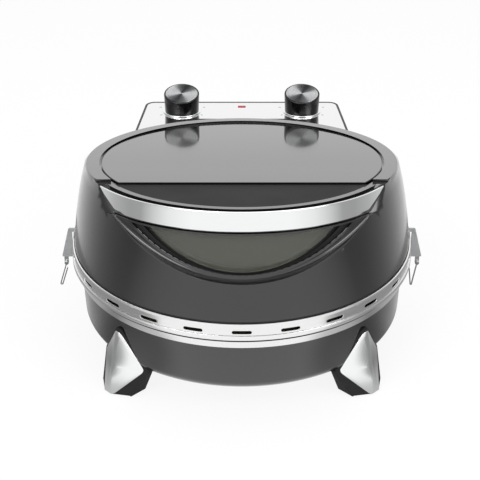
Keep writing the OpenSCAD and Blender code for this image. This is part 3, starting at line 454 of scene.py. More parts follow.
FINISHES: dict[str, Finish] = {
    # Nearly black, with a soft grey sheen that the clear coat lays over the bowl's curve.
    "graphite_paint": MetallicEnamel("stoved graphite enamel", "#0e0e0f", 0.22, ior=1.6,
                                     fleck="#1a1a1c", coat=1.0),
    # A little darker and glossier than the bowl: long soft mirrors down the lid's wall.
    "metallic_moulding": MetallicEnamel("graphite lacquer on moulding", "#080809", 0.22,
                                        fleck="#131315", coat=1.0, coat_roughness=0.11),
    # A clear dark mirror, leaned back because the sheet sags.
    "gloss_disc": MetallicEnamel("gloss graphite lacquer", "#0b0b0c", 0.06, ior=1.26,
                                 fleck="#151517", coat=0.5, coat_roughness=0.04, sag=0.09),
    # Even dark grey with no mirror, as grained plastic has.
    "graphite_housing": MouldedPlastic("graphite moulding", "#2a2a2b", 0.42),
    # Blurred grey-white metal.
    "plated_steel": PlatedMetal("zinc-plated steel", "#b4b6b9", 0.32),
    # Pale metal whose highlights smear round the band.
    "brushed_band": BrushedMetal("satin stainless steel", "#f1f1f1", 0.20),
    # Light grey sheet with a wide soft sheen.
    "aluminised_steel": PlatedMetal("aluminised sheet", "#c3c5c7", 0.30),
    # Dull warm grey, brown in places.
    "element_sheath": HeatedTube("heating element sheath", "#5d5a58", 0.45, 0.7),
    # Matt sand colour, speckled.
    "stone": BakingStone("cordierite stone", "#bfae8a", 0.9),
    # Matt black that hardly mirrors.
    "dark_plastic": MouldedPlastic("dark moulded plastic", "#262627", 0.7, ior=1.28),
    # Near-white mirror with a slightly soft image.
    "polished_inlay": PlatedMetal("polished stainless steel", "#f6f7f7", 0.12),
    # Flat black.
    "pad_rubber": MouldedPlastic("black rubber", "#121212", 0.7),
    # Bright sheet with a fine line from side to side.
    "panel_steel": BrushedMetal("fine-brushed steel", "#f3f3f4", 0.10, way=Brushing.ALONG_X),
    # Deep red with a small sharp highlight.
    "red_lens": MouldedPlastic("red lens", "#a81c34", 0.25),
    # Cream and half matt.
    "pale_plastic": MouldedPlastic("heat-proof moulding", "#d6cdb4", 0.5),
    # Sharp bright mirror.
    "chrome": PlatedMetal("bright chrome", "#f4f5f5", 0.06),
    # Black with a soft-edged gloss.
    "knob_black": MouldedPlastic("gloss black knob", "#0c0c0c", 0.22, ior=1.42),
    # Painted highlight and painted shade fans in the colour, meeting at the middle.
    "turned_metal": TurnedMetal("turned aluminium", "#6d6e70", 0.28),
    # Dark satin with a faint fleck.
    "hinge_steel": MetallicEnamel("painted hinge steel", "#2a2a2b", 0.4),
    # Clear with a grey-olive cast, mirrors softened by the roller wave.
    "glass": TintedGlass("smoked toughened glass", "#a8aa9d"),
    # Even light grey with a low sheen.
    "latch_paint": MetallicEnamel("grey lacquered steel", "#a3a4a5", 0.38, fleck="#b4b5b6"),
    # Bright wire with sharp highlights.
    "spring_steel": PlatedMetal("bright spring steel", "#d2d3d4", 0.16),
}


# ------------------------------------------------------------------ mesh tools


WALL_STEPS = 288            # faces round the oven
KNOB_STEPS = 128            # faces round a knob
FLAT_MARGIN = 0.3           # width of the level row inside a rounded edge


@dataclass(frozen=True)
class Patch:
    """Points in millimetres and the faces between them.

    Attributes:
        points: Array of shape (points, 3).
        faces: Point numbers of each face.
    """

    points: np.ndarray
    faces: list[list[int]]

    def mirrored(self, sign: int) -> "Patch":
        """The patch itself, or its mirror image across X = 0 where sign is -1."""
        return Patch(self.points * (sign, 1, 1), self.faces)


def woven(points: np.ndarray, loop_rows: bool = False, loop_columns: bool = False,
          cap_rows: bool = False) -> Patch:
    """Joins a grid of points into a surface of quads.

    Args:
        points: Array of shape (rows, columns, 3).
        loop_rows: Whether the last row joins the first.
        loop_columns: Whether the last column joins the first.
        cap_rows: Whether the first and the last row are each closed by a face.

    Returns:
        The surface.
    """
    rows, columns = points.shape[:2]
    number = np.arange(rows * columns).reshape(rows, columns)
    ends = [number[0, ::-1].tolist(), number[-1].tolist()] if cap_rows else []
    if loop_rows:
        number = np.vstack([number, number[:1]])
    if loop_columns:
        number = np.hstack([number, number[:, :1]])
    quads = np.stack([number[:-1, :-1], number[:-1, 1:], number[1:, 1:], number[1:, :-1]],
                     axis=-1).reshape(-1, 4)
    return Patch(points.reshape(-1, 3), quads.tolist() + ends)


def xyz(x: np.ndarray, y: np.ndarray, z: np.ndarray) -> np.ndarray:
    """Points (x, y, z), for arrays that broadcast to one shape."""
    return np.stack(np.broadcast_arrays(x, y, z), -1)


def around(radius: np.ndarray, height: np.ndarray, angle: np.ndarray) -> np.ndarray:
    """Points (r cos t, r sin t, z), for arrays that broadcast to one shape."""
    return xyz(radius * np.cos(angle), radius * np.sin(angle), height)


def unit(vectors: np.ndarray) -> np.ndarray:
    """Scales each vector along the last axis to a length of 1."""
    return vectors / np.maximum(np.linalg.norm(vectors, axis=-1, keepdims=True), 1e-12)


def rounded(corners: Sequence[tuple[float, float]], radii: Sequence[float],
            steps: int = 6) -> np.ndarray:
    """Rounds every corner of a closed outline by an arc tangent to both sides.

    With a and b the unit vectors to the two neighbours and h half the angle between them, the
    arc's centre lies r / sin(h) along a + b, and its ends lie r / tan(h) along a and b.

    Args:
        corners: The outline's corners, in order.
        radii: Radius at each corner.
        steps: Faces along each arc.

    Returns:
        Array of shape (corners * (steps + 1), 2).
    """
    here = np.array(corners, float)
    radius = np.array(radii, float)[:, None] + 1e-6
    to_last, to_next = unit(np.roll(here, 1, 0) - here), unit(np.roll(here, -1, 0) - here)
    half = np.arccos(np.clip(np.sum(to_last * to_next, 1, keepdims=True), -1, 1)) / 2
    middle = here + unit(to_last + to_next) * radius / np.sin(half)
    first = here + to_last * radius / np.tan(half) - middle
    final = here + to_next * radius / np.tan(half) - middle
    sweep = (math.pi - 2 * half)[:, None]
    share = np.linspace(0, 1, steps + 1)[None, :, None]
    arc = (np.sin((1 - share) * sweep) * first[:, None] + np.sin(share * sweep)
           * final[:, None]) / np.sin(sweep)
    return (middle[:, None] + arc).reshape(-1, 2)


def shrunk(outline: np.ndarray, inset: float) -> np.ndarray:
    """Moves a closed outline inwards by the same distance all round.

    Each point moves along the mean of its two edges' normals, lengthened by the mitre.
    """
    edge = unit(np.roll(outline, -1, 0) - outline)
    normal = np.stack([-edge[:, 1], edge[:, 0]], 1)
    mean = unit(normal + np.roll(normal, 1, 0))
    mitre = inset / np.maximum(np.sum(mean * normal, 1, keepdims=True), 0.35)
    area = np.sum(outline[:, 0] * np.roll(outline[:, 1], -1)
                  - outline[:, 1] * np.roll(outline[:, 0], -1))
    return outline + mean * mitre * (1 if area > 0 else -1)


def turned(profile: np.ndarray, steps: int = WALL_STEPS,
           centre: tuple[float, float] = (0.0, 0.0), lift: Height | None = None) -> Patch:
    """Turns a closed profile about an upright axis.

    A point (r, z) at angle t goes to (r cos t, r sin t, z), and lift adds a height that
    depends on where it lands.

    Args:
        profile: Array of radius and height, closed on itself.
        steps: Faces round the axis.
        centre: Where the axis stands.
        lift: Height to add, from X and Y about the axis.

    Returns:
        A ring, or a solid where the profile touches the axis.
    """
    angle = np.linspace(0, 2 * math.pi, steps, endpoint=False)[:, None]
    points = around(profile[:, 0], profile[:, 1], angle)
    if lift is not None:
        points[..., 2] += lift(points[..., 0], points[..., 1])
    return woven(points + (*centre, 0.0), True, True)


def plate(outline: np.ndarray, top: Height, thickness: float, edge: float = 0.5,
          steps: int = 4) -> Patch:
    """A plate with a rounded upper edge under a surface.

    Rows of the outline run up the side, then round the edge: at angle t of the quarter circle
    the outline is inset by edge (1 - cos t) and lies edge (1 - sin t) below the surface. One
    more row, level with the surface, keeps the edge's shading off the flat face.

    Args:
        outline: The plate's plan, closed.
        top: Height of the upper face, from X and Y.
        thickness: Upper face to lower face.
        edge: Radius of the upper edge.
        steps: Faces round the edge.

    Returns:
        The closed plate.
    """
    turn = np.linspace(0, math.pi / 2, steps + 1)
    inset = np.concatenate([[0.0], edge * (1 - np.cos(turn)), [edge + FLAT_MARGIN]])
    drop = np.concatenate([[thickness], edge * (1 - np.sin(turn)), [0.0]])
    rows = np.stack([shrunk(outline, value) for value in inset])
    x, y = rows[..., 0], rows[..., 1]
    return woven(xyz(x, y, top(x, y) - drop[:, None]), False, True, True)


def upright(outline: np.ndarray, thickness: float, edge: float = 0.4) -> Patch:
    """A flat plate that stands in the XZ plane, with both its rims rounded as plate's is.

    Args:
        outline: The plate's outline as X and Z, closed.
        thickness: Front face to back face, half on either side of Y = 0.
        edge: Radius of the rims.

    Returns:
        The closed plate.
    """
    turn = np.linspace(0, math.pi / 2, 4)
    inset = np.concatenate([[edge + FLAT_MARGIN], edge * (1 - np.sin(turn)),
                            edge * (1 - np.cos(turn)), [edge + FLAT_MARGIN]])
    depth = np.concatenate([[-thickness / 2], -thickness / 2 + edge * (1 - np.cos(turn)),
                            thickness / 2 - edge * (1 - np.sin(turn)), [thickness / 2]])
    rows = np.stack([shrunk(outline, value) for value in inset])
    return woven(xyz(rows[..., 0], depth[:, None], rows[..., 1]), False, True, True)


class Workshop:
    """Makes finished pieces: mesh, shading, material, body and slot.

    Attributes:
        materials: Material of each slot.
        slots: Slot of each node.
        bodies: Body of each node.
    """

    def __init__(self, materials: dict[str, bpy.types.Material]) -> None:
        """Keeps the materials and looks up the slot and body of every node."""
        record = frame["record"]
        self.materials = materials
        self.slots = {part["node"]: part["material_slot"] for part in record["subparts"]}
        self.bodies = {node: body for body, nodes in record["behaviour"]["bodies"].items()
                       for node in nodes}

    def dress(self) -> None:
        """Gives every CAD node the finish of its slot."""
        for name, obj in frame["nodes"].items():
            obj.data.materials.clear()
            obj.data.materials.append(self.materials[self.slots[name]])
            LOG.info("node %s in %s", name, self.slots[name])

    def finish(self, obj: bpy.types.Object, node: str, slot: str | None,
               crease: float) -> None:
        """Shades a piece, gives it its material and lets it ride with a node's body."""
        used = slot or self.slots[node]
        mesh = obj.data
        mesh.shade_smooth()
        mesh.set_sharp_from_angle(angle=math.radians(crease))
        mesh.materials.clear()
        mesh.materials.append(self.materials[used])
        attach(obj, self.bodies[node])
        LOG.info("piece %s in %s", obj.name, used)

    def piece(self, name: str, patches: list[Patch], node: str = "", on: str = "",
              slot: str | None = None, crease: float = 35.0) -> bpy.types.Object:
        """Makes one piece from its patches.

        Args:
            name: Name of the piece.
            patches: Closed surfaces in millimetres.
            node: CAD node that it stands for.
            on: Node whose body carries it, where it stands for none.
            slot: Material slot, if it isn't the node's.
            crease: Angle past which an edge is sharp, in degrees.

        Returns:
            The new object.
        """
        starts = np.cumsum([0] + [len(patch.points) for patch in patches[:-1]])
        points = np.concatenate([patch.points for patch in patches]) * MM
        faces = [[int(start) + index for index in face]
                 for start, patch in zip(starts, patches) for face in patch.faces]
        mesh = bpy.data.meshes.new(name)
        mesh.from_pydata(points, [], faces)
        obj = stood(name, mesh)
        self.mend(mesh)
        self.finish(obj, node or on, slot, crease)
        if node:
            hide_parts(node)
        return obj

    @staticmethod
    def mend(mesh: bpy.types.Mesh, reach: float = 2e-6) -> None:
        """Merges doubled points, then turns every face outwards."""
        work = bmesh.new()
        work.from_mesh(mesh)
        bmesh.ops.remove_doubles(work, verts=work.verts, dist=reach)
        bmesh.ops.dissolve_degenerate(work, edges=work.edges, dist=reach / 2)
        bmesh.ops.recalc_face_normals(work, faces=work.faces)
        work.to_mesh(mesh)
        work.free()

    def copied(self, name: str, node: str, crease: float = 32.0) -> bpy.types.Object:
        """Copies a node whose shape is right and joins its facets, so that it shades well.

        Args:
            name: Name of the piece.
            node: CAD node to copy.
            crease: Angle past which an edge is sharp, in degrees.

        Returns:
            The new object.
        """
        mesh = frame["nodes"][node].data.copy()
        obj = stood(name, mesh)
        work = bmesh.new()
        work.from_mesh(mesh)
        bmesh.ops.remove_doubles(work, verts=work.verts, dist=1e-5)
        bmesh.ops.dissolve_limit(work, angle_limit=math.radians(0.4), verts=work.verts,
                                 edges=work.edges, use_dissolve_boundaries=False)
        work.to_mesh(mesh)
        work.free()
        self.finish(obj, node, None, crease)
        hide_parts(node)
        return obj


# ------------------------------------------------------------------ sub-assemblies


@dataclass(frozen=True)
class Base:
    """Bowl, flange and slotted band.

    Attributes:
        bowl_r: Bowl's radius at its top.
        bowl_z: Height of its lower edge.
        draft: Inward lean of its side.
        edge: Radius of its lower edge.
        wall: Thickness of its wall.
        opening: Radius of the opening in its floor.
        flange_z: Height of the flange's lower edge.
        flange_top: Height of the flange's upper edge.
        flange_r: Radius of that upper edge.
        band_r: Radius of the band.
        band_t: Thickness of the band.
        seam: Height of the band's foot.
        band_top: Height of the band's upper edge.
        slots: Number of slots.
        slot_z: Height of the slots' middle.
        slot_w: Width of a slot.
        slot_h: Height of a slot.
        rail: Height of the plain strip under the slots.
        hem: Height of the rolled strip over them.
        bead: How far the band's foot stands out.
        across: Faces across the plain border of one slot's cell.
        up: Faces up its side.
        straight: Share of a cell's width over which the lines to the slot run upright.
    """

    bowl_r: float = 165.8
    bowl_z: float = 26.4
    draft: float = 0.035
    edge: float = 11.0
    wall: float = 2.0
    opening: float = 124.0
    flange_z: float = 79.2
    flange_top: float = 89.4
    flange_r: float = 171.0
    band_r: float = 173.5
    band_t: float = 1.6
    seam: float = 90.7
    band_top: float = 107.7
    slots: int = 24
    slot_z: float = 99.2
    slot_w: float = 18.2
    slot_h: float = 3.4
    rail: float = 5.3
    hem: float = 0.6
    bead: float = 1.0
    across: int = 16
    up: int = 6
    straight: float = 0.62

    def bowl_radius(self, height: np.ndarray) -> np.ndarray:
        """Outer radius at a height: a leaning side over a quarter circle."""
        low = np.maximum(0, self.bowl_z + self.edge - height)
        return (self.bowl_r - self.draft * (self.flange_z - height) - self.edge
                + np.sqrt(np.maximum(0, self.edge ** 2 - low ** 2)))

    def bowl(self) -> Patch:
        """The pressed bowl: its outer curve and, a wall further in, its inner one."""
        turn = np.linspace(0, math.pi / 2, 12)
        bend = self.bowl_z + self.edge
        outer_z = np.concatenate([bend - self.edge * np.cos(turn), [self.flange_z]])
        inner_z = np.concatenate([bend - (self.edge - self.wall) * np.cos(turn),
                                  [self.flange_z]])
        inner_r = self.bowl_radius(bend - self.edge * np.cos(turn)) - self.wall * np.sin(turn)
        outer_r = self.bowl_radius(outer_z)
        inner_r = np.concatenate([inner_r, [self.bowl_r - self.wall]])
        profile = np.concatenate([
            [[self.opening, self.bowl_z + 0.4], [self.opening + 0.4, self.bowl_z]],
            np.stack([outer_r, outer_z], 1),
            [[self.bowl_r, self.flange_top - 0.9], [self.bowl_r - 0.4, self.flange_top - 0.6],
             [self.bowl_r - self.wall, self.flange_top - 0.6]],
            np.stack([inner_r, inner_z], 1)[::-1],
            [[self.opening, self.bowl_z + self.wall]]])
        return turned(profile)

    def flange(self) -> Patch:
        """The steel flange, with a rolled lower edge."""
        inside = self.bowl_r + 0.2
        low = self.flange_r - 1.4
        return turned(rounded(
            [(inside, self.flange_z), (low, self.flange_z),
             (self.flange_r, self.flange_top), (inside, self.flange_top)],
            [0.0, 1.3, 0.3, 0.0]))

    def shadow_line_seal(self) -> Patch:
        """The dark cord pressed into the groove between the flange and the band: partly a real
        seal, partly a painted shadow line along the groove.
        """
        low = self.flange_top - 2.3
        return turned(rounded(
            [(self.flange_r - 1.6, low), (self.flange_r + 0.3, low),
             (self.flange_r + 0.35, self.seam + 0.1), (self.flange_r - 1.6, self.seam + 0.1)],
            [0.1, 0.5, 0.1, 0.1]))

    def band(self) -> list[Patch]:
        """The slotted band, its foot and its rolled upper edge.

        Each slot's cell is a grid whose rows run from the cell's border to the slot, through
        the wall and back to the border on the inside. A border point meets the slot's outline
        at c + r (cos a, sin a), where c runs along the slot's middle line with the point's X
        and a fans out from upright towards the cell's corners.
        """
        low, high = self.seam + self.rail, self.band_top - self.hem
        half_cell = math.pi / self.slots * self.band_r
        x = np.linspace(-half_cell, half_cell, self.across + 1)
        z = np.linspace(low, high, self.up + 1)
        border = np.concatenate([
            np.stack([x[:-1], np.full(self.across, low)], 1),
            np.stack([np.full(self.up, half_cell), z[:-1]], 1),
            np.stack([x[:0:-1], np.full(self.across, high)], 1),
            np.stack([np.full(self.up, -half_cell), z[:0:-1]], 1)]) - (0, self.slot_z)
        radius = self.slot_h / 2
        reach = self.slot_w / 2 - radius
        share_x = border[:, 0] / half_cell
        on_side = np.abs(share_x) > 0.9999
        fan = np.clip((np.abs(share_x) - self.straight) / (1 - self.straight), 0, 1)
        lean = np.sign(border[:, 1]) * (math.pi / 2 - fan * math.pi / 4)
        level = (border[:, 1] - border[:, 1].min()) / np.ptp(border[:, 1])
        lean = np.where(on_side, (level - 0.5) * math.pi / 2, lean)
        core = np.stack([np.clip(share_x / self.straight, -1, 1) * reach,
                         np.zeros(len(border))], 1)
        out = np.stack([np.sign(share_x + 1e-9) * np.cos(lean), np.sin(lean)], 1)

        def ring(size: float, share: float, depth: float) -> np.ndarray:
            """One row: the slot's outline grown by size, share of the way to the border."""
            slot = core + out * (radius + size)
            place = slot + (border - slot) * share
            angle = place[:, 0] / self.band_r
            return np.stack([angle, np.full(len(place), self.band_r - depth),
                             place[:, 1] + self.slot_z], 1)

        rows = np.stack([ring(0.35, share, 0.0) for share in (1.0, 0.6, 0.3, 0.1, 0.0)]
                        + [ring(0.1, 0.0, 0.1), ring(0.0, 0.0, 0.35),
                           ring(0.0, 0.0, self.band_t)]
                        + [ring(0.0, share, self.band_t) for share in (0.3, 1.0)])
        step = 2 * math.pi / self.slots
        cells = [woven(around(rows[..., 1], rows[..., 2], rows[..., 0] + turn), False, True)
                 for turn in np.arange(self.slots) * step - math.pi / 2]
        inner = self.band_r - self.band_t
        bead = self.band_r + self.bead
        foot = np.array([
            [self.band_r, low], [self.band_r - 0.6, low - 0.15],
            [self.band_r - 0.6, low - 0.5], [bead - 0.25, low - 0.6], [bead, low - 1.0],
            [bead, self.seam + 0.6], [bead - 0.2, self.seam + 0.15], [bead - 0.6, self.seam],
            [self.flange_r - 1.2, self.seam], [self.flange_r - 1.2, self.flange_top],
            [self.bowl_r + 0.2, self.flange_top], [self.bowl_r + 0.2, self.seam + 1.5],
            [inner, self.seam + 1.5], [inner, low]])
        crown = np.array([
            [inner, high], [inner, self.band_top], [self.band_r - 0.6, self.band_top],
            [self.band_r - 0.2, self.band_top - 0.15], [self.band_r, high]])
        return cells + [self.strip(foot), self.strip(crown)]

    def strip(self, profile: np.ndarray) -> Patch:
        """Turns an open profile with the same steps as the cells' borders."""
        steps = self.slots * self.across
        first = -math.pi / 2 - math.pi / self.slots
        angle = first + np.arange(steps)[:, None] * 2 * math.pi / steps
        return woven(around(profile[:, 0], profile[:, 1], angle), True)

    def build(self, shop: Workshop) -> None:
        """Makes the bowl, the flange and the band."""
        shop.piece("bowl_shell", [self.bowl()], "base_bowl")
        shop.piece("steel_flange", [self.flange()], "trim_flange")
        # The seam cord is partly a real seal and partly a painted shadow line between flange
        # and band.
        shop.piece("seam_shadow_line_seal", [self.shadow_line_seal()], on="trim_flange", slot="pad_rubber")
        shop.piece("vented_band", self.band(), "slotted_band", crease=40)


@dataclass(frozen=True)
class FrontFoot:
    """A wedge foot with a steel inlay, in a frame of radius u, side v and height z.

    Attributes:
        base: The base whose bowl it stands against.
        turn: Direction from straight ahead, in degrees.
        toe: Radius of the ridge at the floor.
        apex: Radius of the ridge at the top.
        top: Height of the top.
        half: Half the widest width.
        side_z: Height of the widest place.
        sole: Half width, height and corner radius at the floor.
        inlay_sole: The same of the inlay.
        face: Half the angle between the two faces, in degrees.
        soft: Radius of the ridge.
        back: Radius of the hidden back.
        margin: Plastic left round the inlay.
    """

    base: Base
    turn: float = 45.3
    toe: float = 188.6
    apex: float = 168.2
    top: float = 71.7
    half: float = 32.8
    side_z: float = 27.8
    sole: Place = (21.7, 0.4, 1.0)
    inlay_sole: Place = (7.0, 1.3, 5.0)
    face: float = 57.0
    soft: float = 8.0
    back: float = 157.0
    margin: float = 3.6

    def outline(self, inset: float) -> np.ndarray:
        """Kite outline as side and height: the foot's own, or the inlay's."""
        half = self.half - inset
        low_half, low, sole_r = self.inlay_sole if inset else self.sole
        return rounded([(0, self.top - inset * 0.8), (half, self.side_z), (low_half, low),
                        (-low_half, low), (-half, self.side_z)],
                       [6.0, 5.0, sole_r, sole_r, 5.0], 8)

    def ridge(self, v: np.ndarray, z: np.ndarray) -> np.ndarray:
        """Radius of the front faces.

        Two planes at the face angle lean with the ridge; where |v| is less than
        soft * cos(face) a circle tangent to both takes over.
        """
        face = math.radians(self.face)
        lean = math.atan2(self.toe - self.apex, self.top)
        flat = -np.abs(v) / math.tan(face)
        nose = -self.soft / math.sin(face) + np.sqrt(np.maximum(self.soft ** 2 - v ** 2, 0))
        off = np.where(np.abs(v) < self.soft * math.cos(face), nose, flat)
        return self.toe - z * math.tan(lean) + off / math.cos(lean)

    def placed(self, rows: np.ndarray, u: np.ndarray, sign: int) -> np.ndarray:
        """Turns side, height and radius into X, Y and Z."""
        turn = math.radians(self.turn) * sign
        v, z = rows[..., 0], rows[..., 1]
        x = u * math.sin(turn) + v * math.cos(turn)
        y = -u * math.cos(turn) + v * math.sin(turn)
        return xyz(x, y, z)

    def shell(self, inset: float, rise: float, depth: float, edge: float, sign: int,
              pocket: float = 0.0) -> Patch:
        """A solid under the ridge surface, inside a kite outline.

        Rows grow from the middle to the outline, go round the edge, and end on the back.

        Args:
            inset: Inset of the outline.
            rise: How far the front stands over the ridge surface.
            depth: Thickness, or 0 to reach back to the bowl.
            edge: Radius of the front's rim.
            sign: 1 for the right foot, -1 for the left.
            pocket: Depth of a recess for the inlay.

        Returns:
            The closed solid.
        """
        outer = self.outline(inset)
        middle = np.array([0.0, 0.42 * self.top])
        rim = shrunk(outer, edge)
        if pocket:
            inner, lip = self.outline(self.margin), self.outline(self.margin - 0.4)
            rows = [middle + (inner - middle) * share for share in np.linspace(0.02, 1, 8)]
            rows += [self.outline(self.margin - 0.15), lip, (lip + rim) / 2]
            ups = [-pocket] * 8 + [-0.25, 0.0, 0.0]
        else:
            shares = np.linspace(0.02, 1, 10)[:-1]
            rows = [middle + (rim - middle) * share for share in shares]
            ups = [rise] * len(shares)
        quarter = np.linspace(0, math.pi / 2, 4)
        rows += [shrunk(outer, edge * (1 - math.sin(turn))) for turn in quarter]
        ups += [rise - edge * (1 - math.cos(turn)) for turn in quarter]
        plan = np.stack(rows)
        u = self.ridge(plan[..., 0], plan[..., 1]) + np.array(ups)[:, None]
        if depth:
            last = u[-1:] - depth
        else:
            bowl = self.base.bowl_radius(np.maximum(outer[:, 1], self.base.bowl_z)) + 0.1
            hidden = np.where(outer[:, 1] > self.base.bowl_z, np.maximum(bowl, self.back),
                              self.back)
            last = np.sqrt(hidden ** 2 - outer[:, 0] ** 2)[None]
            last = np.minimum(last, u[-1:] - 0.2)
        plan = np.concatenate([plan, plan[-1:]])
        u = np.concatenate([u, last])
        return woven(self.placed(plan, u, sign), False, True, True)

    def build(self, shop: Workshop) -> None:
        """Makes both feet and their inlays."""
        for side, sign in (("left", -1), ("right", 1)):
            wedge = self.shell(inset=0.0, rise=0.0, depth=0.0, edge=0.9, sign=sign, pocket=0.8)
            inlay = self.shell(inset=self.margin + 0.25, rise=0.35, depth=1.1, edge=0.35,
                               sign=sign)
            shop.piece(f"foot_wedge_{side}", [wedge], f"front_foot_{side}", crease=30)
            shop.piece(f"steel_inlay_{side}", [inlay], f"foot_inlay_{side}", crease=30)


@dataclass(frozen=True)
class LidTop:
    """What lies in and on the lid's tilted top, and the bright handle band.

    Attributes:
        rim_z: Height of the rim at the middle.
        disc_r: Radius of the round panel.
        disc_z: Height of that panel at the middle.
        disc_fall: Its fall, per unit of length.
        disc_front: Distance from the middle to the panel's straight edge.
        grip_r: Radius of the grip panel's round edge.
        grip_z: Height of the grip panel's plane at the middle.
        grip_fall: Its fall, per unit of length.
        handle_r: Outer radius of the handle band.
        handle_t: Thickness of the handle band.
        handle_h: Height of the handle band.
        handle_fall: Fall of its edges, per unit of length.
        handle_drop: From the rim's plane down to its upper edge, at the middle.
        handle_end: Distance from the middle to its upper corners.
        handle_lean: How much further ahead its lower corners are.
        shadow_line_seal_r: Outer radius of the cord at the lid's lower edge.
        shadow_line_seal_z: Height of that cord's underside.
        shadow_line_seal_h: Height of the cord itself.
    """

    rim_z: float = 193.1
    disc_r: float = 139.4
    disc_z: float = 192.47
    disc_fall: float = 0.1527
    disc_front: float = 77.5
    grip_r: float = 141.3
    grip_z: float = 194.35
    grip_fall: float = 0.10
    handle_r: float = 154.4
    handle_t: float = 2.0
    handle_h: float = 20.7
    handle_fall: float = 0.158
    handle_drop: float = 4.45
    handle_end: float = 77.0
    handle_lean: float = 20.0
    shadow_line_seal_r: float = 172.1
    shadow_line_seal_z: float = 107.95
    shadow_line_seal_h: float = 1.25

    def disc_top(self, x: np.ndarray, y: np.ndarray) -> np.ndarray:
        """Height of the round panel, a little below the rim."""
        return self.disc_z - self.disc_fall * y + 0 * x

    def grip_top(self, x: np.ndarray, y: np.ndarray) -> np.ndarray:
        """Height of the grip panel."""
        return self.grip_z - self.grip_fall * y + 0 * x

    def arc(self, radius: float, start: float, end: float, steps: int) -> np.ndarray:
        """Points on a circle about the middle, between two angles."""
        angle = np.linspace(start, end, steps)
        return radius * np.stack([np.cos(angle), np.sin(angle)], 1)

    def disc(self) -> Patch:
        """The round panel: a circle with a straight front edge."""
        corner = math.asin(self.disc_front / self.disc_r)
        return plate(self.arc(self.disc_r, -corner, math.pi + corner, 181), self.disc_top,
                     1.2, 0.5)

    def grip(self) -> Patch:
        """The ledge behind the handle: the segment that the round panel leaves."""
        corner = math.asin((self.disc_front - 0.2) / self.grip_r)
        return plate(self.arc(self.grip_r, math.pi + corner, 2 * math.pi - corner, 91),
                     self.grip_top, 2.0, 0.35)

    def shadow_line_seal(self) -> Patch:
        """The black cord along the lid's lower edge, just proud of the wall: partly a real
        seal, partly a painted shadow line under the lid.
        """
        low, high = self.shadow_line_seal_z, self.shadow_line_seal_z + self.shadow_line_seal_h
        return turned(rounded([(self.shadow_line_seal_r - 1.5, low), (self.shadow_line_seal_r, low),
                               (self.shadow_line_seal_r - 0.1, high), (self.shadow_line_seal_r - 1.5, high)],
                              [0.1, 0.4, 0.4, 0.1]))

    def riser(self) -> Patch:
        """The panel's folded front edge, a shallow box that stands over the ledge."""
        half = math.sqrt(self.disc_r ** 2 - self.disc_front ** 2) - 0.6
        front, back = -self.disc_front - 0.02, -self.disc_front + 1.4
        top = self.disc_top(0, front) - 0.25
        section = rounded([(front, top - 3.4), (front, top), (back, top), (back, top - 3.4)],
                          [0.1, 0.4, 0.2, 0.1], 4)
        ends = np.array([[-half], [half]])
        return woven(xyz(ends, section[:, 0], section[:, 1]), False, True, True)

    def handle(self) -> Patch:
        """The band, as a rounded section carried round its arc.

        A section point at share b of the height ends where Y is minus the handle's end plus
        its lean times 1 - b, and its height falls with Y.
        """
        corners = rounded([(0, 0), (self.handle_t, 0), (self.handle_t, self.handle_h),
                           (0, self.handle_h)], [0.6, 0.9, 0.9, 0.6], 5)
        lower, upper = np.split(corners, 2)
        rise = np.linspace(self.handle_t, self.handle_h - self.handle_t, 7)[1:-1]
        face = np.stack([np.full(len(rise), self.handle_t), rise], 1)
        back = np.stack([np.zeros(len(rise)), rise[::-1]], 1)
        thick, height = np.concatenate([lower, face, upper, back]).T
        radius = self.handle_r - self.handle_t + thick
        end = self.handle_end + self.handle_lean * (1 - height / self.handle_h)
        angle = -math.pi / 2 + np.linspace(-1, 1, 161)[:, None] * np.arccos(end / radius)
        top = self.rim_z - self.handle_drop - self.handle_fall * radius * np.sin(angle)
        return woven(around(radius, top - self.handle_h + height, angle), False, True, True)

    def build(self, shop: Workshop) -> None:
        """Makes the panels and the handle band."""
        shop.piece("gloss_panel", [self.disc()], "top_panel")
        shop.piece("panel_riser", [self.riser()], on="top_panel", slot="gloss_disc")
        shop.piece("grip_ledge", [self.grip()], "grip_panel")
        shop.piece("bright_handle", [self.handle()], "handle_band", crease=50)
        # The lid's cord is partly a real seal and partly a painted shadow line along the lid's
        # lower edge.
        shop.piece("lid_shadow_line_seal", [self.shadow_line_seal()], on="lid_shell", slot="pad_rubber")


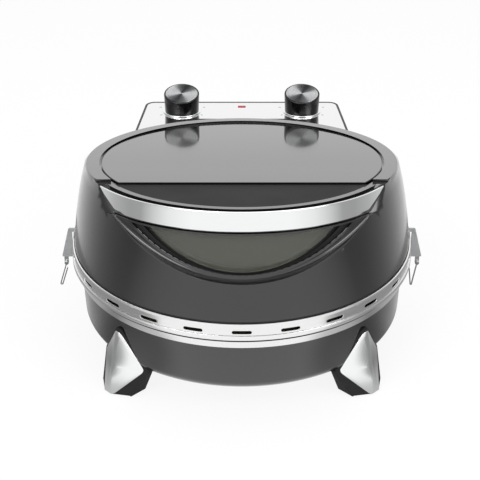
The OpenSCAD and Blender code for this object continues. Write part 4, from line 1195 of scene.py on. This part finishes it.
@dataclass(frozen=True)
class WindowScoop:
    """The smooth scoop in the lid's wall between its surface and the window's frame.

    Attributes:
        foot_r: Outer radius of the lid at its lower edge.
        foot_z: Height of that edge.
        draft: Inward lean of the wall, per unit of height.
        curve: Further inward curve of the wall at curve_h above the edge.
        curve_h: Height over which the curve is measured.
        outer: Radius of the scoop's outer arc, seen from the front, and its lowest height.
        inner: The same of the frame's opening.
        floor_r: Radius of the scoop's floor.
        plane_z: Height of the plane that closes the scoop above, at the middle.
        plane_fall: Fall of that plane, per unit of length.
        margin: How far the piece laps over the wall.
        skin: Thickness of the piece.
        reach: Distances across between which each of its lines meets that plane.
        halvings: Steps in which that meeting is narrowed down.
    """

    foot_r: float = 171.7
    foot_z: float = 108.2
    draft: float = 0.12
    curve: float = 5.7
    curve_h: float = 86.0
    outer: tuple[float, float] = (200.0, 145.0)
    inner: tuple[float, float] = (165.2, 146.8)
    floor_r: float = 156.5
    plane_z: float = 167.4
    plane_fall: float = 0.158
    margin: float = 2.3
    skin: float = 0.7
    reach: tuple[float, float] = (60.0, 140.0)
    halvings: int = 30

    def wall(self, z: np.ndarray) -> np.ndarray:
        """Radius of the lid's wall at a height."""
        rise = z - self.foot_z
        return self.foot_r - self.draft * rise - self.curve * (rise / self.curve_h) ** 3

    def placed(self, x: np.ndarray, lap: np.ndarray, share: np.ndarray,
               lift: np.ndarray) -> np.ndarray:
        """Places points of the scoop.

        Seen from the front a point lies on an arc whose radius and middle pass from the outer
        arc's to the inner one's with the share squared, grown by the lap. Its distance from
        the axis sinks from the wall's to the floor's with 1 - (1 - share)^2.

        Args:
            x: Place across.
            lap: Growth of the arc.
            share: 0 at the outer arc, 1 at the inner one.
            lift: Added to the distance from the axis.

        Returns:
            X, Y and Z of each point.
        """
        blend = share ** 2
        arc = self.outer[0] + (self.inner[0] - self.outer[0]) * blend
        low = self.outer[1] + (self.inner[1] - self.outer[1]) * blend
        z = low + arc - np.sqrt((arc + lap) ** 2 - x ** 2)
        wall = self.wall(z)
        radius = wall + (self.floor_r - wall) * (1 - (1 - share) ** 2) + lift
        return xyz(x, -np.sqrt(radius ** 2 - x ** 2), z)

    def surface(self) -> Patch:
        """The closed sheet: each cross-section is a loop over the front and the back.

        Where a line of the loop meets the closing plane is found by halving, all lines at
        once.
        """
        share = np.concatenate([np.zeros(4), np.linspace(0, 1, 15)[1:]])
        lap = np.concatenate([[self.margin, self.margin - 0.1, 0.5, 0.1], np.zeros(14)])
        lift = np.concatenate([[-0.4, 0.1, 0.12, 0.0], np.zeros(14)])
        share = np.concatenate([share, share[::-1]])
        lap = np.concatenate([lap, lap[::-1]])
        lift = np.concatenate([lift, lift[::-1] - self.skin])
        low, high = (np.full(len(share), bound) for bound in self.reach)
        for _ in range(self.halvings):
            middle = (low + high) / 2
            place = self.placed(middle, lap, share, lift)
            over = place[:, 2] > self.plane_z - self.plane_fall * place[:, 1]
            low, high = np.where(over, low, middle), np.where(over, middle, high)
        x = np.linspace(-1, 1, 181)[:, None] * low
        return woven(self.placed(x, lap, share, lift), False, True, True)

    def build(self, shop: Workshop) -> None:
        """Makes the scoop."""
        shop.piece("window_scoop", [self.surface()], on="lid_shell",
                   slot="metallic_moulding", crease=50)


@dataclass(frozen=True)
class Knob:
    """A control knob: a black skirt, a turned cap, a collar, and marks round it.

    Attributes:
        control: Name of what it controls.
        side: 1 for right, -1 for left.
        out: Distance from the middle plane.
        back: Distance behind the bowl's axis.
        radius: Radius of the skirt.
        height: Height at the axis.
        slope: Slope of its top, in degrees.
        panel: Height of the panel it stands on.
        gap: Gap between the panel and the skirt.
        marks: Angles of the printed marks, in degrees.
        mark_from: Distance of the marks' near ends from the skirt.
        mark_to: Distance of their far ends.
        mark_half: Half the width of a mark.
    """

    control: str
    side: int
    out: float = 70.3
    back: float = 219.3
    radius: float = 20.5
    height: float = 20.0
    slope: float = 11.3
    panel: float = 151.4
    gap: float = 1.4
    marks: tuple[float, ...] = (-150.0, -105.0, -30.0, 20.0, 65.0, 115.0, 160.0)
    mark_from: float = 5.4
    mark_to: float = 8.2
    mark_half: float = 0.45

    @property
    def centre(self) -> tuple[float, float]:
        """Where the axis stands."""
        return self.side * self.out, self.back

    @property
    def top(self) -> float:
        """Height of the skirt's top at the axis."""
        return self.panel + self.gap + self.height

    @property
    def rise(self) -> float:
        """Rise of the top, per unit of length."""
        return math.tan(math.radians(self.slope))

    def slanted(self, share: np.ndarray | float = 1.0) -> Height:
        """Lift that gives each point of a profile its share of the sloping top."""
        return lambda x, y: share * self.rise * y

    def skirt(self) -> Patch:
        """The moulded body: a rim with a rounded edge round a shallow seat."""
        foot, top, r = self.panel + self.gap, self.top, self.radius
        turn = np.linspace(0, math.pi / 2, 6)
        profile = np.concatenate([
            [[0, foot], [r - 1.2, foot], [r - 0.7, foot + 0.5]],
            np.stack([r - 0.9 + 0.9 * np.cos(turn), top - 0.9 + 0.9 * np.sin(turn)], 1),
            [[r - 1.2, top - 0.1], [r - 1.4, top - 1.0], [0, top - 1.0]]])
        share = np.array([0.0] * 3 + [1.0] * 9)
        return turned(profile, KNOB_STEPS, self.centre, self.slanted(share))

    def cap(self) -> Patch:
        """The metal disc: a bright chamfer round a face dished by a hair."""
        top, r = self.top, self.radius - 1.7
        profile = np.array([
            [0, top - 1.6], [r, top - 1.6], [r, top - 0.05], [r - 0.25, top + 0.25],
            [r - 1.1, top + 0.35], [r - 1.3, top + 0.2], [r - 1.5, top + 0.15],
            [r * 0.5, top + 0.08], [0, top + 0.05]])
        return turned(profile, KNOB_STEPS, self.centre, self.slanted())

    def pointer(self) -> Patch:
        """The dark line inlaid in the cap."""
        outline = rounded([(-0.75, 12.0), (0.75, 12.0), (0.75, 17.3), (-0.75, 17.3)],
                          [0.3] * 4, 3) + self.centre
        return plate(outline, lambda x, y: self.top + 0.22 + self.rise * (y - self.back),
                     0.8, 0.1, 2)

    def collar(self) -> Patch:
        """The bright ring round the knob's foot, with a rounded shoulder."""
        inner, outer = self.radius - 1.9, self.radius + 3.1
        low = self.panel - 0.2
        return turned(rounded([(inner, low), (outer - 0.5, low), (outer - 0.8, low + 2.0),
                               (inner, low + 2.2)], [0.05, 0.1, 0.8, 0.3], 5),
                      KNOB_STEPS, self.centre)

    def printed(self) -> list[Patch]:
        """Short marks printed on the panel round the collar."""
        bars = []
        for angle in np.radians(self.marks):
            way = np.array([math.cos(angle), math.sin(angle)])
            across = self.mark_half * np.array([-way[1], way[0]])
            start = (self.radius + self.mark_from) * way
            end = (self.radius + self.mark_to) * way
            outline = np.array([start - across, end - across, end + across, start + across])
            bars.append(plate(outline + self.centre, lambda x, y: self.panel + 0.04 + 0 * x,
                              0.12, 0.02, 1))
        return bars

    def build(self, shop: Workshop) -> None:
        """Makes the knob, its collar and its marks."""
        side = "left" if self.side < 0 else "right"
        shop.piece(f"{self.control}_skirt", [self.skirt()], f"{self.control}_knob", crease=40)
        cap = shop.piece(f"{self.control}_turned_cap", [self.cap()],
                         f"{self.control}_knob_cap", crease=25)
        # The cap's colour carries a painted highlight fan about the knob's axis.
        cap.data.materials[0] = TurnedMetal("turned aluminium cap", "#626365", 0.28,
                                            centre=(*self.centre, 0.0)).material()
        shop.piece(f"{self.control}_pointer", [self.pointer()], on=f"{self.control}_knob",
                   slot="knob_black")
        shop.piece(f"{self.control}_collar", [self.collar()], f"knob_collar_{side}")
        shop.piece(f"{self.control}_marks", self.printed(), on="control_panel",
                   slot="dark_plastic")


@dataclass(frozen=True)
class Latch:
    """A fin on the lid's side and the hairpin clip that hangs below it.

    Attributes:
        side: 1 for right, -1 for left.
        lean: Lean of the clip from the upright, outwards, in degrees.
        bend: Radius of the hairpin's bend.
        tip: Where its short leg ends, from the pin, with the clip upright.
        inner: Distance from the middle to the fin's inner edge.
        outer: Distance to its lower outer corner.
        top: Height of its upper edge.
        low: Height of its lower edge.
        step: Height at which it steps back to the lid's wall.
        wall: Distance from the middle to where it meets that wall.
        thick: Thickness of the fin.
        pin_off: From the fin's lower outer corner to the clip's pin.
        length: Length of the clip.
        strip: Thickness and width of its spring strip.
        eye_r: Inner and outer radius of the eye round the pin.
    """

    side: int
    lean: float
    bend: float = 0.7
    tip: tuple[float, float] = (-6.7, -7.1)
    inner: float = 175.6
    outer: float = 187.6
    top: float = 113.2
    low: float = 80.0
    step: float = 109.4
    wall: float = 170.2
    thick: float = 2.4
    pin_off: tuple[float, float] = (-4.0, -8.0)
    length: float = 27.3
    strip: tuple[float, float] = (1.2, 2.2)
    eye_r: tuple[float, float] = (1.05, 2.2)

    @property
    def pin(self) -> np.ndarray:
        """Where the clip's pin is, as X and Z."""
        return np.array([self.outer, self.low]) + self.pin_off

    def fin(self) -> Patch:
        """The plate, with its step over the band's edge."""
        outline = rounded(
            [(self.wall, self.step), (self.inner, self.step), (self.inner, self.low),
             (self.outer, self.low), (self.outer - 8.5, self.top), (self.wall, self.top)],
            [0.2, 0.4, 0.8, 1.1, 1.6, 0.2], 4)
        return upright(outline, self.thick, 0.35).mirrored(self.side)

    def clip(self) -> Patch:
        """The spring strip: a rounded section carried along the hairpin's line.

        The line is the eye's rim, the long leg, a half circle and the short leg, turned about
        the pin by the clip's lean.
        """
        bend, (thick, width) = self.bend, np.array(self.strip) / 2
        low = -self.length + bend + thick
        half_turn = np.radians(np.linspace(0, -180, 13))
        legs = np.linspace([0.0, -1.6], [0.0, low], 8)[:-1]
        arc = np.stack([-bend + bend * np.cos(half_turn), low + bend * np.sin(half_turn)], 1)
        back = np.linspace([-2 * bend, low], self.tip, 8)[1:]
        line = np.concatenate([legs, arc, back])
        lean = math.radians(self.lean)
        line = line @ np.array([[math.cos(lean), math.sin(lean)],
                                [-math.sin(lean), math.cos(lean)]]) + self.pin
        along = unit(np.gradient(line, axis=0))
        normal = np.stack([-along[:, 1], along[:, 0]], 1)
        section = rounded([(-thick, -width), (thick, -width), (thick, width),
                           (-thick, width)], [0.3] * 4, 3)
        plan = line[:, None] + normal[:, None] * section[:, :1]
        points = xyz(plan[..., 0], section[:, 1], plan[..., 1])
        return woven(points, False, True, True).mirrored(self.side)

    def eye(self) -> Patch:
        """The rolled eye round the pin, a short tube along Y."""
        (hole, rim), half = self.eye_r, self.strip[1] / 2
        section = rounded([(hole, -half), (rim, -half), (rim, half), (hole, half)],
                          [0.1, 0.35, 0.35, 0.1], 3)
        angle = np.linspace(0, 2 * math.pi, 40, endpoint=False)[:, None]
        x, z, y = np.moveaxis(around(section[:, 0], section[:, 1], angle), -1, 0)
        points = xyz(x + self.pin[0], y, z + self.pin[1])
        return woven(points, True, True).mirrored(self.side)

    def foot(self) -> Patch:
        """The fin's foot, a thin plate that follows the lid's wall."""
        wall, step, top = self.wall, self.step, self.top
        section = rounded([(wall + 0.4, step), (wall + 2.8, step), (wall + 2.4, top),
                           (wall, top)], [0.1, 0.5, 0.5, 0.1], 3)
        angle = np.radians(np.linspace(-3.0, 3.0, 9))[:, None]
        points = around(section[:, 0], section[:, 1], angle)
        return woven(points, False, True, True).mirrored(self.side)

    def build(self, shop: Workshop) -> None:
        """Makes the fin and the clip."""
        name = "left" if self.side < 0 else "right"
        shop.piece(f"latch_fin_{name}", [self.fin(), self.foot()], f"hasp_{name}")
        shop.piece(f"hairpin_clip_{name}", [self.clip(), self.eye()], f"latch_lever_{name}",
                   crease=40)


# Copied nodes whose shape is right as it is: the piece's name, and the node.
CARRIED_OVER = {"lid_moulding": "lid_shell", "control_box": "control_housing",
                "steel_panel": "control_panel", "curved_glass": "window_glass"}


# ------------------------------------------------------------------ studio


@dataclass(frozen=True)
class SoftBox:
    """A rectangular studio lamp that faces a target.

    Attributes:
        name: Name of the lamp.
        place: Where it hangs, in metres.
        width: Its width.
        height: Its height.
        power: Its power in watts.
        target: What it faces.
    """

    name: str
    place: Place
    width: float
    height: float
    power: float
    target: Place = (0.0, 0.0, 0.12)

    def build(self) -> None:
        """Hangs the lamp."""
        lamp = bpy.data.lights.new(self.name, "AREA")
        lamp.shape = "RECTANGLE"
        lamp.size, lamp.size_y, lamp.energy = self.width, self.height, self.power
        holder = stood(self.name, lamp)
        holder.location = self.place
        x, y, z = np.array(self.target) - np.array(self.place)
        holder.rotation_euler = (math.atan2(math.hypot(x, y), -z), 0.0,
                                 math.atan2(x, -y) + math.pi)


@dataclass(frozen=True)
class Studio:
    """Camera, lamps, floor and white surround.

    The tones give what polished faces mirror: a level for each forward share, which is -1
    behind the oven and 1 in front of it.

    Attributes:
        lens_mm: Focal length.
        eye: Where the camera stands, in metres.
        pitch_deg: How far it looks down.
        shift: Sideways shift of its frame, as a share of the width.
        floor_half: Half the width of the floor.
        floor_white: Share of the floor's own whiteness where the camera sees it.
        soft_light: Strength of the light from all round.
        card_tones: Tones of the cards.
        card_radius: Distance of the cards from the oven's axis.
        card_low: Height of their lower edge.
        card_height: Height of their upper edge.
        card_span: Directions between which they stand, in degrees from the front.
        floor_tones: Tones of the floor.
        foot_place: Middle of the painted shade patch on the floor that the right foot mirrors.
        foot_reach: Radii between which that patch fades.
        foot_shade: Level of that painted shade.
        world_tones: Tones of the room.
    """

    lens_mm: float = 90.0
    eye: Place = (0.0, -1.0872, 0.7058)
    pitch_deg: float = 29.16
    shift: float = -1.8 / 480.0
    floor_half: float = 6.0
    floor_white: float = 0.88
    soft_light: float = 0.55
    card_tones: Tones = ((-1.0, 0.29), (0.70, 0.27), (0.76, 0.45), (0.81, 1.0))
    card_radius: float = 0.27
    card_low: float = 0.004
    card_height: float = 0.05
    card_span: tuple[float, float] = (32.0, 130.0)
    floor_tones: Tones = (
        (-1.0, 0.95), (-0.5, 0.78), (-0.25, 0.60), (0.0, 0.44), (0.25, 0.35), (0.40, 0.37),
        (0.56, 0.66), (0.70, 0.88), (0.86, 1.0))
    foot_place: Place = (0.172, -0.128, 0.0)
    foot_reach: tuple[float, float] = (0.05, 0.11)
    foot_shade: float = 0.58
    world_tones: Tones = (
        (-1.0, 1.0), (-0.7, 1.0), (-0.45, 0.55), (-0.1, 0.38), (0.2, 0.38), (0.42, 0.66),
        (0.6, 0.88), (0.85, 1.0))

    def camera(self) -> None:
        """Places the camera that frames the oven from the front and above."""
        data = bpy.data.cameras.new("camera")
        data.lens, data.sensor_width, data.sensor_fit = self.lens_mm, 36.0, "HORIZONTAL"
        data.shift_x = self.shift
        data.clip_start, data.clip_end = 0.05, 50.0
        holder = stood("camera", data)
        holder.location = self.eye
        holder.rotation_euler = (math.radians(90.0 - self.pitch_deg), 0.0, 0.0)
        bpy.context.scene.camera = holder

    def floor(self) -> None:
        """Lays the pale floor: white where it is seen, toned where it is mirrored, with a
        painted shade beside each front foot.
        """
        half = self.floor_half
        mesh = bpy.data.meshes.new("floor")
        mesh.from_pydata([(-half, -half, 0), (half, -half, 0), (half, half, 0),
                          (-half, half, 0)], [], [(0, 1, 2, 3)])
        made = bpy.data.materials.new("pale floor")
        tree = emptied(made)
        place = add(tree, "ShaderNodeTexCoord").outputs["Object"]
        matt = add(tree, "ShaderNodeBsdfDiffuse", {"Color": linear("#f4f4f4")})
        white = add(tree, "ShaderNodeEmission", {"Color": WHITE, "Strength": 1.0})
        toned = add(tree, "ShaderNodeEmission", {
            "Color": self.flags(tree, place, self.floor_tones),
            "Strength": self.shaded(tree, place)})
        share = add(tree, "ShaderNodeMath", {
            0: self.either(tree, "Is Camera Ray", "Is Transmission Ray"),
            1: self.floor_white}, operation="MULTIPLY")
        seen = add(tree, "ShaderNodeMixShader", {"Fac": share, 1: matt, 2: white})
        mixed = add(tree, "ShaderNodeMixShader", {
            "Fac": self.either(tree, "Is Glossy Ray"), 1: seen, 2: toned})
        add(tree, "ShaderNodeOutputMaterial", {"Surface": mixed})
        mesh.materials.append(made)
        stood("floor", mesh)

    @staticmethod
    def either(tree: Tree, *rays: str) -> Socket:
        """Returns 1 for any of these kinds of ray, 0 for the rest."""
        path = add(tree, "ShaderNodeLightPath")
        found = path.outputs[rays[0]]
        for ray in rays[1:]:
            found = add(tree, "ShaderNodeMath", {0: found, 1: path.outputs[ray]},
                        operation="MAXIMUM").outputs["Value"]
        return found

    @staticmethod
    def flags(tree: Tree, place: Socket, tones: Tones) -> Node:
        """What polished faces mirror: a bright front, with dark flags at both sides.

        The place's forward share, -y / sqrt(x^2 + y^2), is mapped through a ramp.

        Args:
            tree: Node tree to add to.
            place: Direction or place round the oven.
            tones: Forward shares and the level at each.

        Returns:
            The node that gives the level, from 0 to 1.
        """
        flat = add(tree, "ShaderNodeVectorMath", {0: place, 1: LEVEL}, operation="MULTIPLY")
        level = add(tree, "ShaderNodeVectorMath", {0: flat}, operation="NORMALIZE")
        parts = add(tree, "ShaderNodeSeparateXYZ", {"Vector": level})
        share = add(tree, "ShaderNodeMapRange", {
            "Value": parts.outputs["Y"], "From Min": 1.0, "From Max": -1.0})
        return add(tree, "ShaderNodeValToRGB", {"Fac": share}, [
            ((forward + 1) / 2, (value, value, value, 1.0)) for forward, value in tones])

    def shaded(self, tree: Tree, place: Socket) -> Node:
        """Painted shade: how much the floor that polished faces mirror darkens beside each
        front foot.
        """
        folded = add(tree, "ShaderNodeVectorMath", {0: place}, operation="ABSOLUTE")
        x, y, z = self.foot_place
        gap = add(tree, "ShaderNodeVectorMath", {0: folded, 1: (x, -y, z)},
                  operation="DISTANCE")
        near, far = self.foot_reach
        return add(tree, "ShaderNodeMapRange", {
            "Value": gap.outputs["Value"], "From Min": near, "From Max": far,
            "To Min": self.foot_shade, "To Max": 1.0}, interpolation_type="SMOOTHSTEP")

    def surround(self) -> None:
        """Makes the world white where it is seen, toned where it is mirrored."""
        world = bpy.data.worlds.new("studio")
        bpy.context.scene.world = world
        tree = emptied(world)
        way = add(tree, "ShaderNodeTexCoord").outputs["Generated"]
        toned = add(tree, "ShaderNodeBackground", {
            "Color": self.flags(tree, way, self.world_tones)})
        soft = add(tree, "ShaderNodeBackground", {"Color": WHITE, "Strength": self.soft_light})
        white = add(tree, "ShaderNodeBackground", {"Color": WHITE})
        lit = add(tree, "ShaderNodeMixShader", {
            "Fac": self.either(tree, "Is Glossy Ray"), 1: soft, 2: toned})
        shown = add(tree, "ShaderNodeMixShader", {
            "Fac": self.either(tree, "Is Camera Ray", "Is Transmission Ray"),
            1: lit, 2: white})
        add(tree, "ShaderNodeOutputWorld", {"Surface": shown})

    def cards(self) -> None:
        """Stands a curved grey card on each side, low enough for the feet alone to mirror."""
        made = bpy.data.materials.new("flag card")
        tree = emptied(made)
        place = add(tree, "ShaderNodeTexCoord").outputs["Object"]
        grey = add(tree, "ShaderNodeEmission", {
            "Color": self.flags(tree, place, self.card_tones)})
        add(tree, "ShaderNodeOutputMaterial", {"Surface": grey})
        heights = np.array([[self.card_low], [self.card_height]])
        for name, side in (("left flag", -1), ("right flag", 1)):
            angle = side * np.radians(np.linspace(*self.card_span, 25)) - math.pi / 2
            sheet = woven(around(self.card_radius, heights, angle))
            mesh = bpy.data.meshes.new(name)
            mesh.from_pydata(sheet.points, [], sheet.faces)
            mesh.materials.append(made)
            card = stood(name, mesh)
            card.visible_camera = card.visible_diffuse = card.visible_shadow = False
            card.visible_transmission = False

    def build(self) -> None:
        """Builds the whole studio, with plain colour handling and three soft boxes."""
        bpy.context.scene.view_settings.view_transform = "Standard"
        self.camera()
        self.floor()
        self.surround()
        self.cards()
        for box in (SoftBox("key", (-0.9, -1.2, 1.5), 1.0, 1.0, 14.0),
                    SoftBox("fill", (1.1, -0.9, 1.2), 0.9, 0.9, 9.0),
                    SoftBox("top", (0.0, 0.3, 1.7), 1.6, 1.2, 12.0)):
            box.build()


def main() -> None:
    """Builds the studio and every sub-assembly in order."""
    logging.basicConfig(level=logging.INFO, format="%(name)s: %(message)s")
    Studio().build()
    shop = Workshop({slot: finish.material() for slot, finish in FINISHES.items()})
    shop.dress()
    base = Base()
    for assembly in (base, FrontFoot(base), LidTop(), Knob("timer", -1),
                     Knob("thermostat", 1), Latch(-1, 17.4, bend=1.1, tip=(-2.4, -5.0)),
                     Latch(1, -9.0), WindowScoop()):
        assembly.build(shop)
    for name, node in CARRIED_OVER.items():
        shop.copied(name, node)


if __name__ == "__main__":
    main()
